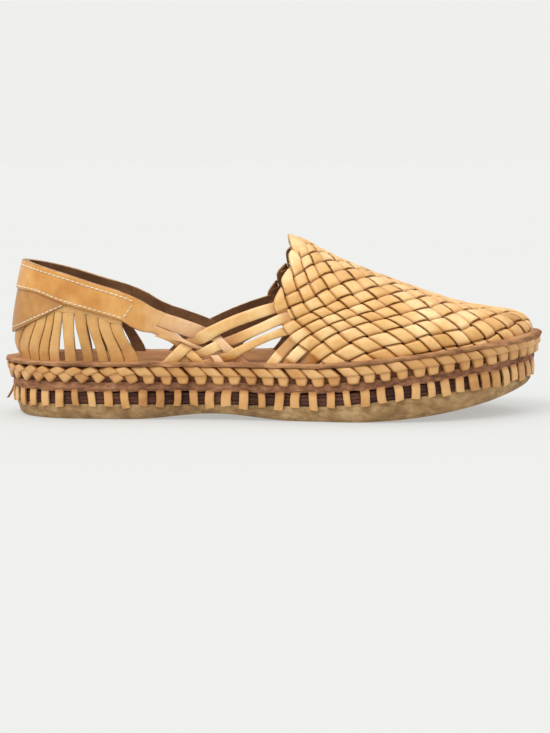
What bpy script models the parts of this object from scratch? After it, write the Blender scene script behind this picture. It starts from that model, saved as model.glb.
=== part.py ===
"""Woven leather huarache sandal, right foot, modelled in metres with +Z up.

+X points to the toe, +Y to the inner side of the foot, and the origin is the centre of the
shoe's box on the floor. The shapes are worked out with x from the back of the heel, and
new_object moves them to the origin.
"""
import math

import bmesh
import bpy
import numpy as np
from mathutils import Vector
from mathutils.bvhtree import BVHTree

COLLECTION = "huarache_sandal"

# Main sizes
LENGTH = 0.290
WIDTH = 0.100
INSTEP = 0.0655
GAP = 0.0003

# Thickness of each layer of the sole, from the floor up
OUTSOLE = 0.0083
MIDSOLE = 0.0057
LASHING = 0.0008
WELT = 0.0127
FOOTBED = 0.0023

# How far each layer stands back from the edge of the footbed
TREAD_INSET = 0.0100
OUTSOLE_INSET = 0.0062
MIDSOLE_INSET = 0.0060
WELT_INSET = 0.0039
BRAID_INSET = 0.0012
UPPER_INSET = 0.0060

# Curve of the sole
ARCH = 0.0030
TOE_SPRING = 0.0170
TOE_LIFT = 0.0140

# Braid and lashings around the edge
BRAID = 0.0080
BRAID_DEPTH = 0.0040
BRAID_RAISE = 0.0007
BRAID_TABS = 66
RIBS = 64
RIB_LENGTH = 0.0080
RIB_THICKNESS = 0.0015
LASHING_WIDTH = 0.0090

# Leather of the upper
WALL = 0.0018
WEAVE_PITCH = 0.0088
WEAVE_RAISE = 0.0009
STRAP_THICKNESS = 0.0018
HEEL_STRIP_PITCH = 0.0084
HEEL_STRIPS = 10
BAND_THICKNESS = 0.0018
PATCH_THICKNESS = 0.0013
PANEL_DEPTH = 0.0019

OUTLINE_POINTS = 72

# Outline of the footbed: share of length, outer and inner reach as shares of width
PLAN = [
    (0.000, 0.000, 0.000),
    (0.022, 0.180, 0.170),
    (0.085, 0.315, 0.305),
    (0.200, 0.365, 0.340),
    (0.370, 0.365, 0.325),
    (0.530, 0.440, 0.410),
    (0.660, 0.500, 0.495),
    (0.780, 0.470, 0.500),
    (0.890, 0.335, 0.435),
    (0.965, 0.130, 0.315),
    (1.000, -0.080, 0.080),
]

# Ridge of the last: share of length, sideways as share of width, height as share of instep
RIDGE = [
    (0.000, 0.020, 1.817),
    (0.207, 0.030, 1.542),
    (0.414, 0.040, 1.214),
    (0.528, 0.050, 1.000),
    (0.614, 0.060, 0.803),
    (0.697, 0.075, 0.650),
    (0.772, 0.085, 0.528),
    (0.848, 0.090, 0.421),
    (0.903, 0.090, 0.376),
    (0.938, 0.090, 0.348),
]

# Squareness of the cross section: share of length, sideways, upward
SECTION = [
    (0.000, 2.0, 2.0),
    (0.207, 2.0, 2.0),
    (0.414, 2.0, 1.9),
    (0.528, 2.0, 1.75),
    (0.638, 2.1, 1.75),
    (0.741, 2.3, 1.9),
    (0.828, 2.4, 2.0),
    (0.917, 2.4, 2.1),
]

# Lines on the side of the last: share of length, height above the footbed as share of instep
COLLAR = [(0.034, 0.797), (0.117, 0.702), (0.175, 0.621), (0.219, 0.562), (0.255, 0.499),
          (0.280, 0.432), (0.308, 0.377), (0.342, 0.321), (0.374, 0.266)]
BAND_LOW = [(0.021, 0.560), (0.064, 0.540), (0.115, 0.461), (0.179, 0.382), (0.225, 0.321),
            (0.255, 0.246), (0.281, 0.203), (0.314, 0.124)]
SLIT_TOP = [(0.021, 0.382), (0.114, 0.379), (0.159, 0.363), (0.181, 0.339), (0.202, 0.299),
            (0.224, 0.285), (0.259, 0.262), (0.283, 0.231)]
PATCH_LOW = [(0.008, 0.189), (0.117, 0.443)]
THROAT = [(-0.046, 0.486), (0.214, 0.493), (0.473, 0.500), (0.672, 0.514), (0.870, 0.534), (1.053, 0.545)]

# Straps: upper edge then lower edge, each as share of length and share of instep
RISING_STRAPS = [
    [(0.291, -0.031, 0.322, -0.031), (0.301, 0.017, 0.329, 0.006), (0.333, 0.157, 0.353, 0.107),
     (0.362, 0.237, 0.376, 0.150), (0.390, 0.299, 0.400, 0.214), (0.427, 0.374, 0.431, 0.278),
     (0.469, 0.441, 0.472, 0.345), (0.517, 0.504, 0.519, 0.420)],
    [(0.319, -0.031, 0.348, -0.031), (0.336, 0.046, 0.356, 0.009), (0.364, 0.099, 0.377, 0.037),
     (0.390, 0.159, 0.403, 0.092), (0.427, 0.224, 0.431, 0.140), (0.469, 0.304, 0.476, 0.231),
     (0.510, 0.389, 0.514, 0.308), (0.531, 0.412, 0.536, 0.344)],
    [(0.345, -0.031, 0.388, -0.038), (0.359, -0.006, 0.391, -0.027), (0.383, 0.032, 0.411, -0.006),
     (0.403, 0.064, 0.427, 0.020), (0.427, 0.111, 0.448, 0.079), (0.469, 0.198, 0.489, 0.171),
     (0.508, 0.272, 0.521, 0.218), (0.528, 0.305, 0.538, 0.244)],
]
FALLING_STRAPS = [
    [(0.303, 0.385, 0.291, 0.282), (0.344, 0.324, 0.322, 0.217), (0.377, 0.269, 0.355, 0.179),
     (0.403, 0.200, 0.384, 0.169), (0.422, 0.122, 0.405, 0.090), (0.442, 0.041, 0.421, 0.027),
     (0.459, -0.031, 0.433, -0.038)],
    [(0.286, 0.282, 0.276, 0.229), (0.314, 0.221, 0.303, 0.183), (0.341, 0.168, 0.333, 0.153),
     (0.366, 0.119, 0.353, 0.107), (0.390, 0.082, 0.370, 0.070), (0.403, 0.031, 0.386, 0.031),
     (0.412, -0.031, 0.392, -0.031)],
    [(0.297, 0.221, 0.283, 0.202), (0.319, 0.183, 0.305, 0.165), (0.336, 0.134, 0.320, 0.122),
     (0.353, 0.085, 0.334, 0.061), (0.367, 0.027, 0.347, 0.012), (0.379, -0.031, 0.355, -0.031)],
]
COLLAR_STRAP = [(0.254, 0.501, 0.231, 0.296), (0.280, 0.432, 0.259, 0.244),
                (0.308, 0.377, 0.288, 0.191), (0.334, 0.333, 0.311, 0.153)]

# Width of the slit in front of each heel strip, from the back to the front
SLITS = [0.0010, 0.0014, 0.0018, 0.0018, 0.0016, 0.0036, 0.0036, 0.0028, 0.0014, 0.0009]

COLOURS = {
    "outsole": ((0.29, 0.21, 0.10), 0.85),
    "midsole": ((0.10, 0.04, 0.03), 0.80),
    "sole_lashing": ((0.60, 0.36, 0.15), 0.60),
    "welt": ((0.37, 0.17, 0.09), 0.75),
    "edge_braid": ((0.62, 0.36, 0.15), 0.55),
    "footbed": ((0.42, 0.21, 0.11), 0.65),
    "upper": ((0.72, 0.44, 0.19), 0.55),
    "heel_band": ((0.62, 0.32, 0.12), 0.55),
    "counter_patch": ((0.60, 0.34, 0.16), 0.60),
}


# Curves and tables

def table(rows, at, column=1):
    """Smooth value of a column at a place between the rows."""
    xs = [row[0] for row in rows]
    if at <= xs[0]:
        return rows[0][column]
    if at >= xs[-1]:
        return rows[-1][column]
    i = max(k for k in range(len(xs)) if xs[k] <= at)

    def slope(k):
        a, b = max(k - 1, 0), min(k + 1, len(rows) - 1)
        return (rows[b][column] - rows[a][column]) / (xs[b] - xs[a])

    step = xs[i + 1] - xs[i]
    t = (at - xs[i]) / step
    return ((2 * t ** 3 - 3 * t ** 2 + 1) * rows[i][column]
            + (t ** 3 - 2 * t ** 2 + t) * slope(i) * step
            + (-2 * t ** 3 + 3 * t ** 2) * rows[i + 1][column]
            + (t ** 3 - t ** 2) * slope(i + 1) * step)


def spline_point(points, t):
    """Point on a centripetal Catmull-Rom span between the middle two of four points."""
    k = [0.0]
    for a, b in zip(points, points[1:]):
        k.append(k[-1] + math.sqrt(math.dist(a, b)))
    at = k[1] + (k[2] - k[1]) * t
    p = [np.array(point) for point in points]

    def mix(a, b, start, end):
        return a + (b - a) * (at - start) / (end - start)

    first = [mix(p[i], p[i + 1], k[i], k[i + 1]) for i in range(3)]
    second = [mix(first[i], first[i + 1], k[i], k[i + 2]) for i in range(2)]
    return mix(second[0], second[1], k[1], k[2])


def plan_curve():
    """Dense closed outline of the footbed, from the heel along the outer side to the toe and back."""
    outer = [(share * LENGTH, -reach * WIDTH) for share, reach, _ in PLAN]
    inner = [(share * LENGTH, reach * WIDTH) for share, _, reach in PLAN]
    points = outer + inner[-2:0:-1]
    count = len(points)
    dense = []
    for i in range(count):
        span = [points[(i + k - 1) % count] for k in range(4)]
        dense += [spline_point(span, j / 24) for j in range(24)]
    return np.array(dense)


CURVE = plan_curve()
CENTRE = (CURVE.min(axis=0) + CURVE.max(axis=0)) / 2


def outline(inset, count, shift=0.0):
    """Evenly spaced points of the outline moved inwards, with the inward directions."""
    steps = np.linalg.norm(np.roll(CURVE, -1, axis=0) - CURVE, axis=1)
    along = np.concatenate([[0.0], np.cumsum(steps)])
    closed = np.vstack([CURVE, CURVE[:1]])
    at = (np.arange(count) + shift) / count * along[-1] % along[-1]
    points = np.stack([np.interp(at, along, closed[:, k]) for k in range(2)], axis=1)
    ahead = np.stack([np.interp((at + 0.002) % along[-1], along, closed[:, k]) for k in range(2)], axis=1)
    behind = np.stack([np.interp((at - 0.002) % along[-1], along, closed[:, k]) for k in range(2)], axis=1)
    along_edge = ahead - behind
    along_edge /= np.linalg.norm(along_edge, axis=1)[:, None]
    inward = np.stack([-along_edge[:, 1], along_edge[:, 0]], axis=1)
    return points + inward * inset, inward


# Heights of the layers

def lift(x):
    """Rise of every layer towards the toe."""
    start = 0.576 * LENGTH
    return TOE_LIFT * max(0.0, (x - start) / (LENGTH - start)) ** 1.12


def tread(x):
    """Underside of the outsole: flat at the heel and the ball, arched between, rising at the toe."""
    arch_from, arch_to, spring_from = 0.24 * LENGTH, 0.54 * LENGTH, 0.628 * LENGTH
    height = 0.0
    if arch_from < x < arch_to:
        height = ARCH * math.sin(math.pi * (x - arch_from) / (arch_to - arch_from)) ** 2
    if x > spring_from:
        height += TOE_SPRING * ((x - spring_from) / (LENGTH - spring_from)) ** 1.9
    return height


MIDSOLE_LOW = OUTSOLE + GAP
LASHING_LOW = MIDSOLE_LOW + MIDSOLE + GAP
WELT_LOW = LASHING_LOW + LASHING + GAP
FOOTBED_LOW = WELT_LOW + WELT + GAP
RIM = FOOTBED_LOW + FOOTBED
BRAID_TOP = FOOTBED_LOW - GAP
BRAID_LOW = BRAID_TOP - BRAID


def side_height(share):
    """Height of a line on the side of the last, given as a share of the instep."""
    return RIM + share * INSTEP


# Surface of the last

def fan(x):
    """Place on the ridge that the section from a place on the edge runs up to."""
    heel, toe = 0.214 * LENGTH, 0.80 * LENGTH
    if x < heel:
        reach = heel - UPPER_INSET
        kept = (heel - 0.152 * LENGTH) / reach
        t = min((heel - x) / reach, 1.0)
        return heel - kept * reach * (1 - (1 - t) ** (1 / kept))
    if x > toe:
        reach = LENGTH - UPPER_INSET - toe
        kept = (0.917 * LENGTH - toe) / reach
        t = min((x - toe) / reach, 1.0)
        return toe + kept * reach * (1 - (1 - t) ** (1 / kept))
    return x


def heel_bulge(x, height):
    """Fullness of the back of the heel just above the footbed."""
    if height <= 0:
        return 0.0
    full = 0.0039 * math.exp(-max(x - 0.004, 0) / 0.035)
    return full * (height / 0.016) * math.exp(1 - height / 0.016)


# How far the surface of the last runs on below its edge, and how steeply
SKIRT = 0.030
FALL = 0.040

FOOT, FOOT_INWARD = outline(UPPER_INSET, 240)
FOOT_STEPS = np.linalg.norm(np.roll(FOOT, -1, axis=0) - FOOT, axis=1)
FOOT_ALONG = np.concatenate([[0.0], np.cumsum(FOOT_STEPS)])


def last_point(along, angle):
    """Point of the last above a place on its edge: angle 0 is the edge and a right angle the ridge."""
    at = along % FOOT_ALONG[-1]
    i = min(int(np.searchsorted(FOOT_ALONG, at, side="right")) - 1, len(FOOT) - 1)
    j = (i + 1) % len(FOOT)
    w = (at - FOOT_ALONG[i]) / FOOT_STEPS[i]
    foot = FOOT[i] * (1 - w) + FOOT[j] * w
    inward = FOOT_INWARD[i] * (1 - w) + FOOT_INWARD[j] * w
    base = RIM + lift(foot[0])
    if angle < 0:
        return Vector((foot[0], foot[1], base + FALL * angle))
    ridge_x = fan(foot[0])
    share = ridge_x / LENGTH
    ridge_y = table(RIDGE, share, 1) * WIDTH
    ridge_z = RIM + table(RIDGE, share, 2) * INSTEP
    flat = math.cos(angle) ** (2 / table(SECTION, share, 1)) if angle < math.pi / 2 else 0.0
    rise = math.sin(angle) ** (2 / table(SECTION, share, 2))
    z = base + (ridge_z - base) * rise
    out = heel_bulge(foot[0], z - base)
    x = ridge_x + (foot[0] - ridge_x) * flat - inward[0] * out
    y = ridge_y + (foot[1] - ridge_y) * flat - inward[1] * out
    return Vector((x, y, z))


def last_surface():
    """Search tree of the whole last, for laying straps and woven strips on it."""
    columns = 240
    angles = [-SKIRT / FALL, -0.5 * SKIRT / FALL] + [math.pi / 2 * k / 48 for k in range(49)]
    points = []
    for i in range(columns):
        points += [last_point(FOOT_ALONG[-1] * i / columns, angle) for angle in angles]
    rows = len(angles)
    faces = []
    for i in range(columns):
        j = (i + 1) % columns
        for k in range(rows - 1):
            faces.append((i * rows + k, j * rows + k, j * rows + k + 1, i * rows + k + 1))
    return BVHTree.FromPolygons(points, faces)


LAST = last_surface()
TOE_ALONG = float(FOOT_ALONG[int(np.argmax(FOOT[:, 0]))])


def touch(side, x, z):
    """Point and outward direction of the last seen from one side."""
    point, normal, _, _ = LAST.ray_cast(Vector((x, side * 0.3, z)), Vector((0, -side, 0)))
    if normal.y * side < 0:
        normal = -normal
    return point, normal


def climb(along, level):
    """Point on the section above a place on the edge, where it meets a line given over x."""
    low, high = -SKIRT / FALL, math.pi / 2
    for _ in range(30):
        middle = (low + high) / 2
        point = last_point(along, middle)
        if point.z < level(point.x):
            low = middle
        else:
            high = middle
    angle = (low + high) / 2
    point = last_point(along, angle)
    ahead = last_point(along + 0.001, angle) - last_point(along - 0.001, angle)
    up = last_point(along, angle + 0.01) - last_point(along, angle - 0.01)
    return point, ahead.cross(up).normalized()


# Objects

def material(name):
    """Plain material with the part's own colour."""
    colour, roughness = COLOURS[name]
    made = bpy.data.materials.new(name)
    made.use_nodes = True
    shader = made.node_tree.nodes["Principled BSDF"]
    shader.inputs["Base Color"].default_value = (*colour, 1.0)
    shader.inputs["Roughness"].default_value = roughness
    shader.inputs["Metallic"].default_value = 0.0
    return made


def new_object(name, bm, collection, cutter=False):
    """Object from a mesh worked out from the heel, moved to the shoe's own origin."""
    bmesh.ops.translate(bm, verts=bm.verts, vec=(-CENTRE[0], -CENTRE[1], 0.0))
    bmesh.ops.recalc_face_normals(bm, faces=bm.faces)
    mesh = bpy.data.meshes.new(name)
    bm.to_mesh(mesh)
    bm.free()
    made = bpy.data.objects.new(name, mesh)
    collection.objects.link(made)
    if cutter:
        made.hide_render = True
        made.display_type = "WIRE"
    else:
        mesh.materials.append(material(name))
    return made


def rings_mesh(rings, closed_ends=False):
    """Mesh that runs through rings of points; each ring is a closed loop."""
    bm = bmesh.new()
    loops = [[bm.verts.new(point) for point in ring] for ring in rings]
    for low, high in zip(loops, loops[1:]):
        for i in range(len(low)):
            j = (i + 1) % len(low)
            bm.faces.new((low[i], low[j], high[j], high[i]))
    if closed_ends:
        bm.faces.new(loops[0][::-1])
        bm.faces.new(loops[-1])
    return bm, loops


def cap_across(bm, loop):
    """Close a shoe-shaped loop with strips from its outer side to its inner side."""
    count = len(loop)
    for i in range(1, count // 2):
        near, far = loop[i], loop[count - i]
        if i == 1:
            bm.faces.new((loop[0], near, far))
        if i + 1 == count // 2:
            bm.faces.new((near, loop[i + 1], far))
        else:
            bm.faces.new((near, loop[i + 1], loop[count - i - 1], far))


def sole_layer(name, sections, collection):
    """Solid layer through outlines, each given as an inset and a height over x."""
    rings = []
    for inset, height in sections:
        points, _ = outline(inset, OUTLINE_POINTS)
        rings.append([Vector((x, y, height(x))) for x, y in points])
    bm, loops = rings_mesh(rings)
    cap_across(bm, loops[0])
    cap_across(bm, loops[-1])
    return new_object(name, bm, collection)


def raise_pad(bm, face, ends, sides, height):
    """Raise the middle of a four-sided face, leaving a slope at its ends and sides."""
    corners = list(face.verts)
    a, b, c, d = [v.co.copy() for v in corners]
    normal = face.normal.copy()
    top = []
    for s, t in ((ends, sides), (1 - ends, sides), (1 - ends, 1 - sides), (ends, 1 - sides)):
        low, high = a.lerp(b, s), d.lerp(c, s)
        top.append(bm.verts.new(low.lerp(high, t) + normal * height))
    bm.faces.remove(face)
    bm.faces.new(top)
    for i in range(4):
        j = (i + 1) % 4
        bm.faces.new((corners[i], corners[j], top[j], top[i]))


# Sole

def rising(level):
    """Height of a layer that lifts with the toe."""
    return lambda x: level + lift(x)


def build_outsole(collection):
    """Crepe sole, rounded under its edge, with a flat heel and ball."""
    sections = [
        (TREAD_INSET, tread),
        ((TREAD_INSET + OUTSOLE_INSET) / 2 - 0.001, lambda x: tread(x) + 0.18 * (OUTSOLE + lift(x) - tread(x))),
        (OUTSOLE_INSET + 0.0004, lambda x: tread(x) + 0.6 * (OUTSOLE + lift(x) - tread(x))),
        (OUTSOLE_INSET, rising(OUTSOLE)),
    ]
    return sole_layer("outsole", sections, collection)


def build_midsole(collection):
    """Dark layer above the outsole."""
    sections = [(MIDSOLE_INSET, rising(MIDSOLE_LOW)), (MIDSOLE_INSET, rising(MIDSOLE_LOW + MIDSOLE))]
    return sole_layer("midsole", sections, collection)


def build_welt(collection):
    """Rough leather layer with a step that the braid sits in."""
    step = BRAID_INSET + BRAID_DEPTH + 2 * GAP
    sections = [
        (WELT_INSET + 0.0008, rising(WELT_LOW)),
        (WELT_INSET, rising(WELT_LOW + 0.0013)),
        (WELT_INSET, rising(BRAID_LOW - GAP)),
        (step, rising(BRAID_LOW - GAP)),
        (step, rising(WELT_LOW + WELT)),
    ]
    return sole_layer("welt", sections, collection)


def build_footbed(collection):
    """Leather footbed whose edge is the rim of the shoe."""
    sections = [
        (0.0006, rising(FOOTBED_LOW)),
        (0.0, rising(FOOTBED_LOW + 0.3 * FOOTBED)),
        (0.0003, rising(RIM)),
    ]
    return sole_layer("footbed", sections, collection)


def ring_section(inset_heights, count, shifts):
    """Loops around the shoe for a band, each with its own inset, height and shift along."""
    loops = []
    for (inset, level), shift in zip(inset_heights, shifts):
        points, _ = outline(inset, count, shift)
        loops.append([Vector((x, y, level + lift(x))) for x, y in points])
    return loops + loops[:1]


def build_edge_braid(collection):
    """Braided thong around the edge: two rows of slanting raised tabs."""
    inner = BRAID_INSET + BRAID_DEPTH
    middle = BRAID_LOW + 0.5 * BRAID
    corners = [(inner, BRAID_LOW), (inner, BRAID_TOP), (BRAID_INSET + 0.0006, BRAID_TOP),
               (BRAID_INSET, middle), (BRAID_INSET + 0.0010, BRAID_LOW)]
    rings = ring_section(corners, BRAID_TABS, (0.0, 0.0, 0.0, 0.5, 0.0))
    bm = bmesh.new()
    loops = [[bm.verts.new(point) for point in ring] for ring in rings[:-1]]
    loops.append(loops[0])
    tabs = []
    for row, (low, high) in enumerate(zip(loops, loops[1:])):
        for i in range(BRAID_TABS):
            j = (i + 1) % BRAID_TABS
            face = bm.faces.new((low[i], low[j], high[j], high[i]))
            if row in (2, 3):
                tabs.append(face)
    bmesh.ops.recalc_face_normals(bm, faces=bm.faces)
    bm.normal_update()
    for face in tabs:
        raise_pad(bm, face, 0.14, 0.12, BRAID_RAISE)
    return new_object("edge_braid", bm, collection)


def build_sole_lashing(collection):
    """Thin ring between midsole and welt, with ribs hanging over the edge of the sole."""
    outer = MIDSOLE_INSET - GAP - RIB_THICKNESS
    inner = MIDSOLE_INSET - GAP
    high = LASHING_LOW + LASHING
    corners = [(outer + LASHING_WIDTH, LASHING_LOW), (outer + LASHING_WIDTH, high),
               (outer, high), (outer, LASHING_LOW), (inner, LASHING_LOW)]
    count = 2 * RIBS
    rings = ring_section(corners, count, (0.0,) * 5)
    bm = bmesh.new()
    loops = [[bm.verts.new(point) for point in ring] for ring in rings[:-1]]
    loops.append(loops[0])
    ribs = []
    for row, (low, up) in enumerate(zip(loops, loops[1:])):
        for i in range(count):
            j = (i + 1) % count
            face = bm.faces.new((low[i], low[j], up[j], up[i]))
            if row == 3 and i % 2 == 0:
                ribs.append(face)
    bmesh.ops.recalc_face_normals(bm, faces=bm.faces)
    for face in ribs:
        rib = bmesh.ops.extrude_face_region(bm, geom=[face])["geom"]
        verts = [item for item in rib if isinstance(item, bmesh.types.BMVert)]
        bmesh.ops.translate(bm, verts=verts, vec=(0.0, 0.0, -RIB_LENGTH))
        bm.faces.remove(face)
    return new_object("sole_lashing", bm, collection)


# Upper

def weave_nodes():
    """Crossing points of the woven strips, laid on the last from its ridge down both sides."""
    outer_edge = [last_point(TOE_ALONG * k / 400, math.pi / 2) for k in range(401)]
    toe = [last_point(TOE_ALONG, math.pi / 2 * (1 - k / 60)) for k in range(1, 61)]
    toe += [last_point(TOE_ALONG, -0.9 * SKIRT / FALL * k / 10) for k in range(1, 11)]
    path = [p for p in outer_edge if p.x > 0.2 * LENGTH] + toe
    along = [0.0]
    for a, b in zip(path, path[1:]):
        along.append(along[-1] + (b - a).length)
    throat = next(d for d, p in zip(along, path) if p.x > 0.57 * LENGTH)
    step = WEAVE_PITCH * math.sqrt(2) * 1.02
    nodes = {}
    for k in range(-8, 24):
        at = throat + k * step
        if 0 < at < along[-1]:
            nodes[(k, k)] = Vector([float(np.interp(at, along, [p[c] for p in path])) for c in range(3)])
    for side in (-1, 1):
        for row in range(1, 18):
            for k in range(-8, 24):
                add_node(nodes, side, k, row)
    return nodes


def add_node(nodes, side, k, row):
    """One crossing, a strip's pitch from the two above it."""
    def key(along, down):
        return (along, along + down) if side < 0 else (along + down, along)

    first, second = nodes.get(key(k, row - 1)), nodes.get(key(k + 1, row - 1))
    if first is None or second is None:
        return
    if row == 1:
        point = (first + second) / 2 + Vector((0, side * 0.006, -0.002))
    else:
        point = first + second - nodes[key(k + 1, row - 2)]
    for _ in range(30):
        for fixed in (first, second):
            away = point - fixed
            point = fixed + away * (WEAVE_PITCH / away.length)
        point = LAST.find_nearest(point)[0]
    if point.z > RIM + lift(point.x) - 0.8 * SKIRT:
        nodes[key(k, row)] = point


def woven_cells(nodes):
    """Cells of the weave in front of the throat, each with the direction of its upper strip."""
    cells = []
    for a, b in nodes:
        corners = [(a, b), (a + 1, b), (a + 1, b + 1), (a, b + 1)]
        if any(corner not in nodes for corner in corners):
            continue
        centre = sum((nodes[corner] for corner in corners), Vector()) / 4
        height = (centre.z - RIM) / INSTEP
        top = max(nodes[corner].z for corner in corners)
        back = table(THROAT, height) * LENGTH
        if centre.x > back and top > RIM + lift(centre.x):
            cells.append((corners, (a + b) % 2 == 0))
    return cells


def build_vamp(collection):
    """Woven front of the upper: one wall whose strips stand up where they cross over."""
    nodes = weave_nodes()
    cells = woven_cells(nodes)
    bm = bmesh.new()
    verts = {}
    for corners, _ in cells:
        for corner in corners:
            if corner not in verts:
                verts[corner] = bm.verts.new(nodes[corner])
        bm.faces.new([verts[corner] for corner in corners])
    bm.normal_update()
    inside = Vector((0.7 * LENGTH, 0.0, RIM + 0.01))
    if sum((face.calc_center_median() - inside).dot(face.normal) for face in bm.faces) < 0:
        bmesh.ops.reverse_faces(bm, faces=bm.faces)
        bm.normal_update()
    for vert in bm.verts:
        vert.co -= vert.normal * WEAVE_RAISE
    flat = bpy.data.meshes.new("vamp_sheet")
    bm.to_mesh(flat)
    bm.free()
    sheet = bpy.data.objects.new("vamp_sheet", flat)
    collection.objects.link(sheet)
    thicken(sheet, WALL, -1.0)
    wall = bmesh.new()
    wall.from_mesh(sheet.evaluated_get(bpy.context.evaluated_depsgraph_get()).to_mesh())
    bpy.data.objects.remove(sheet)
    wall.faces.ensure_lookup_table()
    wall.normal_update()
    outer = [wall.faces[i] for i in range(len(cells))]
    for face, (corners, rises) in zip(outer, cells):
        if rises:
            raise_pad(wall, face, 0.2, 0.06, WEAVE_RAISE)
        else:
            raise_pad(wall, face, 0.06, 0.2, WEAVE_RAISE)
    return new_object("upper", wall, collection)


def thicken(target, thickness, offset):
    """Solidify modifier on an open sheet."""
    solid = target.modifiers.new("wall", "SOLIDIFY")
    solid.thickness = thickness
    solid.offset = offset
    solid.use_even_offset = True


def strap(name, side, rows, outer, thickness, collection):
    """Flat strap between two edges drawn on the side of the last, at a depth below its surface."""
    rings = []
    for top_x, top_z, low_x, low_z in rows:
        top, top_out = touch(side, top_x * LENGTH, side_height(top_z))
        low, low_out = touch(side, low_x * LENGTH, side_height(low_z))
        rings.append([top - top_out * outer, low - low_out * outer,
                      low - low_out * (outer + thickness), top - top_out * (outer + thickness)])
    bm, _ = rings_mesh(rings, closed_ends=True)
    return new_object(name, bm, collection, cutter=True)


def panel_edges():
    """Edges of the heel strips along the foot, from the outer side round the back to the inner side."""
    edges = []
    for side in (-1, 1):
        for k in range(HEEL_STRIPS + 1):
            middle = (k + 0.5) * HEEL_STRIP_PITCH
            gap = SLITS[k] if k < HEEL_STRIPS else 0.0
            edges.append((side * middle, gap))
    return sorted(edges)


def heel_column(along, gap, low):
    """Points of one strip edge, from under the footbed's level to the collar."""
    side = 1 if along > 0 else -1
    back = max(0.0, abs(along) - 0.045) * 0.22
    levels = [lambda x: RIM - 0.003, lambda x: RIM + 0.013, lambda x: side_height(table(SLIT_TOP, x / LENGTH))]
    levels += [lambda x: side_height(0.5 * table(SLIT_TOP, x / LENGTH) + 0.5 * table(COLLAR, x / LENGTH)),
               lambda x: side_height(table(COLLAR, x / LENGTH)) - 0.0006]
    rows = []
    for level, lean, opening in zip(levels, (0.0, 0.45, 1.0, 1.1, 1.3), (1.0, 0.8, 0.35, 0.0, 0.0)):
        at = along - side * back * lean + low * gap / 2 * opening
        point, out = climb(-at, level)
        above = point.z - RIM
        depth = GAP + (PANEL_DEPTH - GAP) * min(max(above / 0.014, 0.0), 1.0)
        rows.append(point - out * depth)
    return rows


def build_heel_panel(collection):
    """Back of the upper, slit into strips below the collar."""
    bm = bmesh.new()
    columns = []
    for along, gap in panel_edges():
        if gap == 0.0:
            columns.append([bm.verts.new(p) for p in heel_column(along, 0.0, 0)])
            continue
        left = [bm.verts.new(p) for p in heel_column(along, gap, -1)]
        right_points = heel_column(along, gap, 1)
        right = [bm.verts.new(p) for p in right_points[:3]] + left[3:]
        columns.append(left)
        columns.append(right)
    for index, (left, right) in enumerate(zip(columns, columns[1:])):
        slit = left[3] is right[3]
        if slit:
            bm.faces.new((left[2], right[2], left[3]))
            continue
        for k in range(4):
            bm.faces.new((left[k], right[k], right[k + 1], left[k + 1]))
    bm.normal_update()
    inside = Vector((0.15 * LENGTH, 0.0, RIM + 0.02))
    if sum((face.calc_center_median() - inside).dot(face.normal) for face in bm.faces) < 0:
        bmesh.ops.reverse_faces(bm, faces=bm.faces)
    bmesh.ops.translate(bm, verts=bm.verts, vec=(-CENTRE[0], -CENTRE[1], 0.0))
    mesh = bpy.data.meshes.new("heel_panel")
    bm.to_mesh(mesh)
    bm.free()
    made = bpy.data.objects.new("heel_panel", mesh)
    made.hide_render = True
    made.display_type = "WIRE"
    collection.objects.link(made)
    thicken(made, WALL, -1.0)
    return made


def overlay(name, lines, reach, leans, inner, thickness, collection):
    """Piece laid around the back of the heel between lines given over x, outside the heel panel."""
    bm = bmesh.new()
    grid = []
    count = 24
    for i in range(count + 1):
        share = 2 * i / count - 1
        column = []
        for level, lean in zip(lines, leans):
            point, out = climb(-share * (reach + lean), level)
            column.append(bm.verts.new(point - out * (inner - thickness)))
        grid.append(column)
    for left, right in zip(grid, grid[1:]):
        for k in range(len(lines) - 1):
            bm.faces.new((left[k], right[k], right[k + 1], left[k + 1]))
    bm.normal_update()
    inside = Vector((0.15 * LENGTH, 0.0, RIM + 0.02))
    if sum((face.calc_center_median() - inside).dot(face.normal) for face in bm.faces) < 0:
        bmesh.ops.reverse_faces(bm, faces=bm.faces)
    made = open_sheet(name, bm, collection)
    thicken(made, thickness, -1.0)
    return made


def open_sheet(name, bm, collection):
    """Object from an open sheet whose faces already point outwards."""
    bmesh.ops.translate(bm, verts=bm.verts, vec=(-CENTRE[0], -CENTRE[1], 0.0))
    mesh = bpy.data.meshes.new(name)
    bm.to_mesh(mesh)
    bm.free()
    mesh.materials.append(material(name))
    made = bpy.data.objects.new(name, mesh)
    collection.objects.link(made)
    return made


def build_heel_band(collection):
    """Stitched band around the collar."""
    def low(x):
        return side_height(table(BAND_LOW, x / LENGTH))

    def high(x):
        return side_height(table(COLLAR, x / LENGTH))

    lines = [low, lambda x: (low(x) + high(x)) / 2, high]
    return overlay("heel_band", lines, 0.0742, (0.0, 0.0032, 0.0064),
                   PANEL_DEPTH - 1.6 * GAP, BAND_THICKNESS, collection)


def build_counter_patch(collection):
    """Patch below the band, deepest at the back of the heel."""
    def high(x):
        return side_height(table(BAND_LOW, x / LENGTH)) - 2 * GAP

    def low(x):
        return min(side_height(table(PATCH_LOW, x / LENGTH)), high(x) - 0.0015)

    lines = [low, lambda x: (low(x) + high(x)) / 2, high]
    return overlay("counter_patch", lines, 0.0445, (0.0, 0.0, 0.0),
                   PANEL_DEPTH - 1.6 * GAP, PATCH_THICKNESS, collection)


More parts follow.
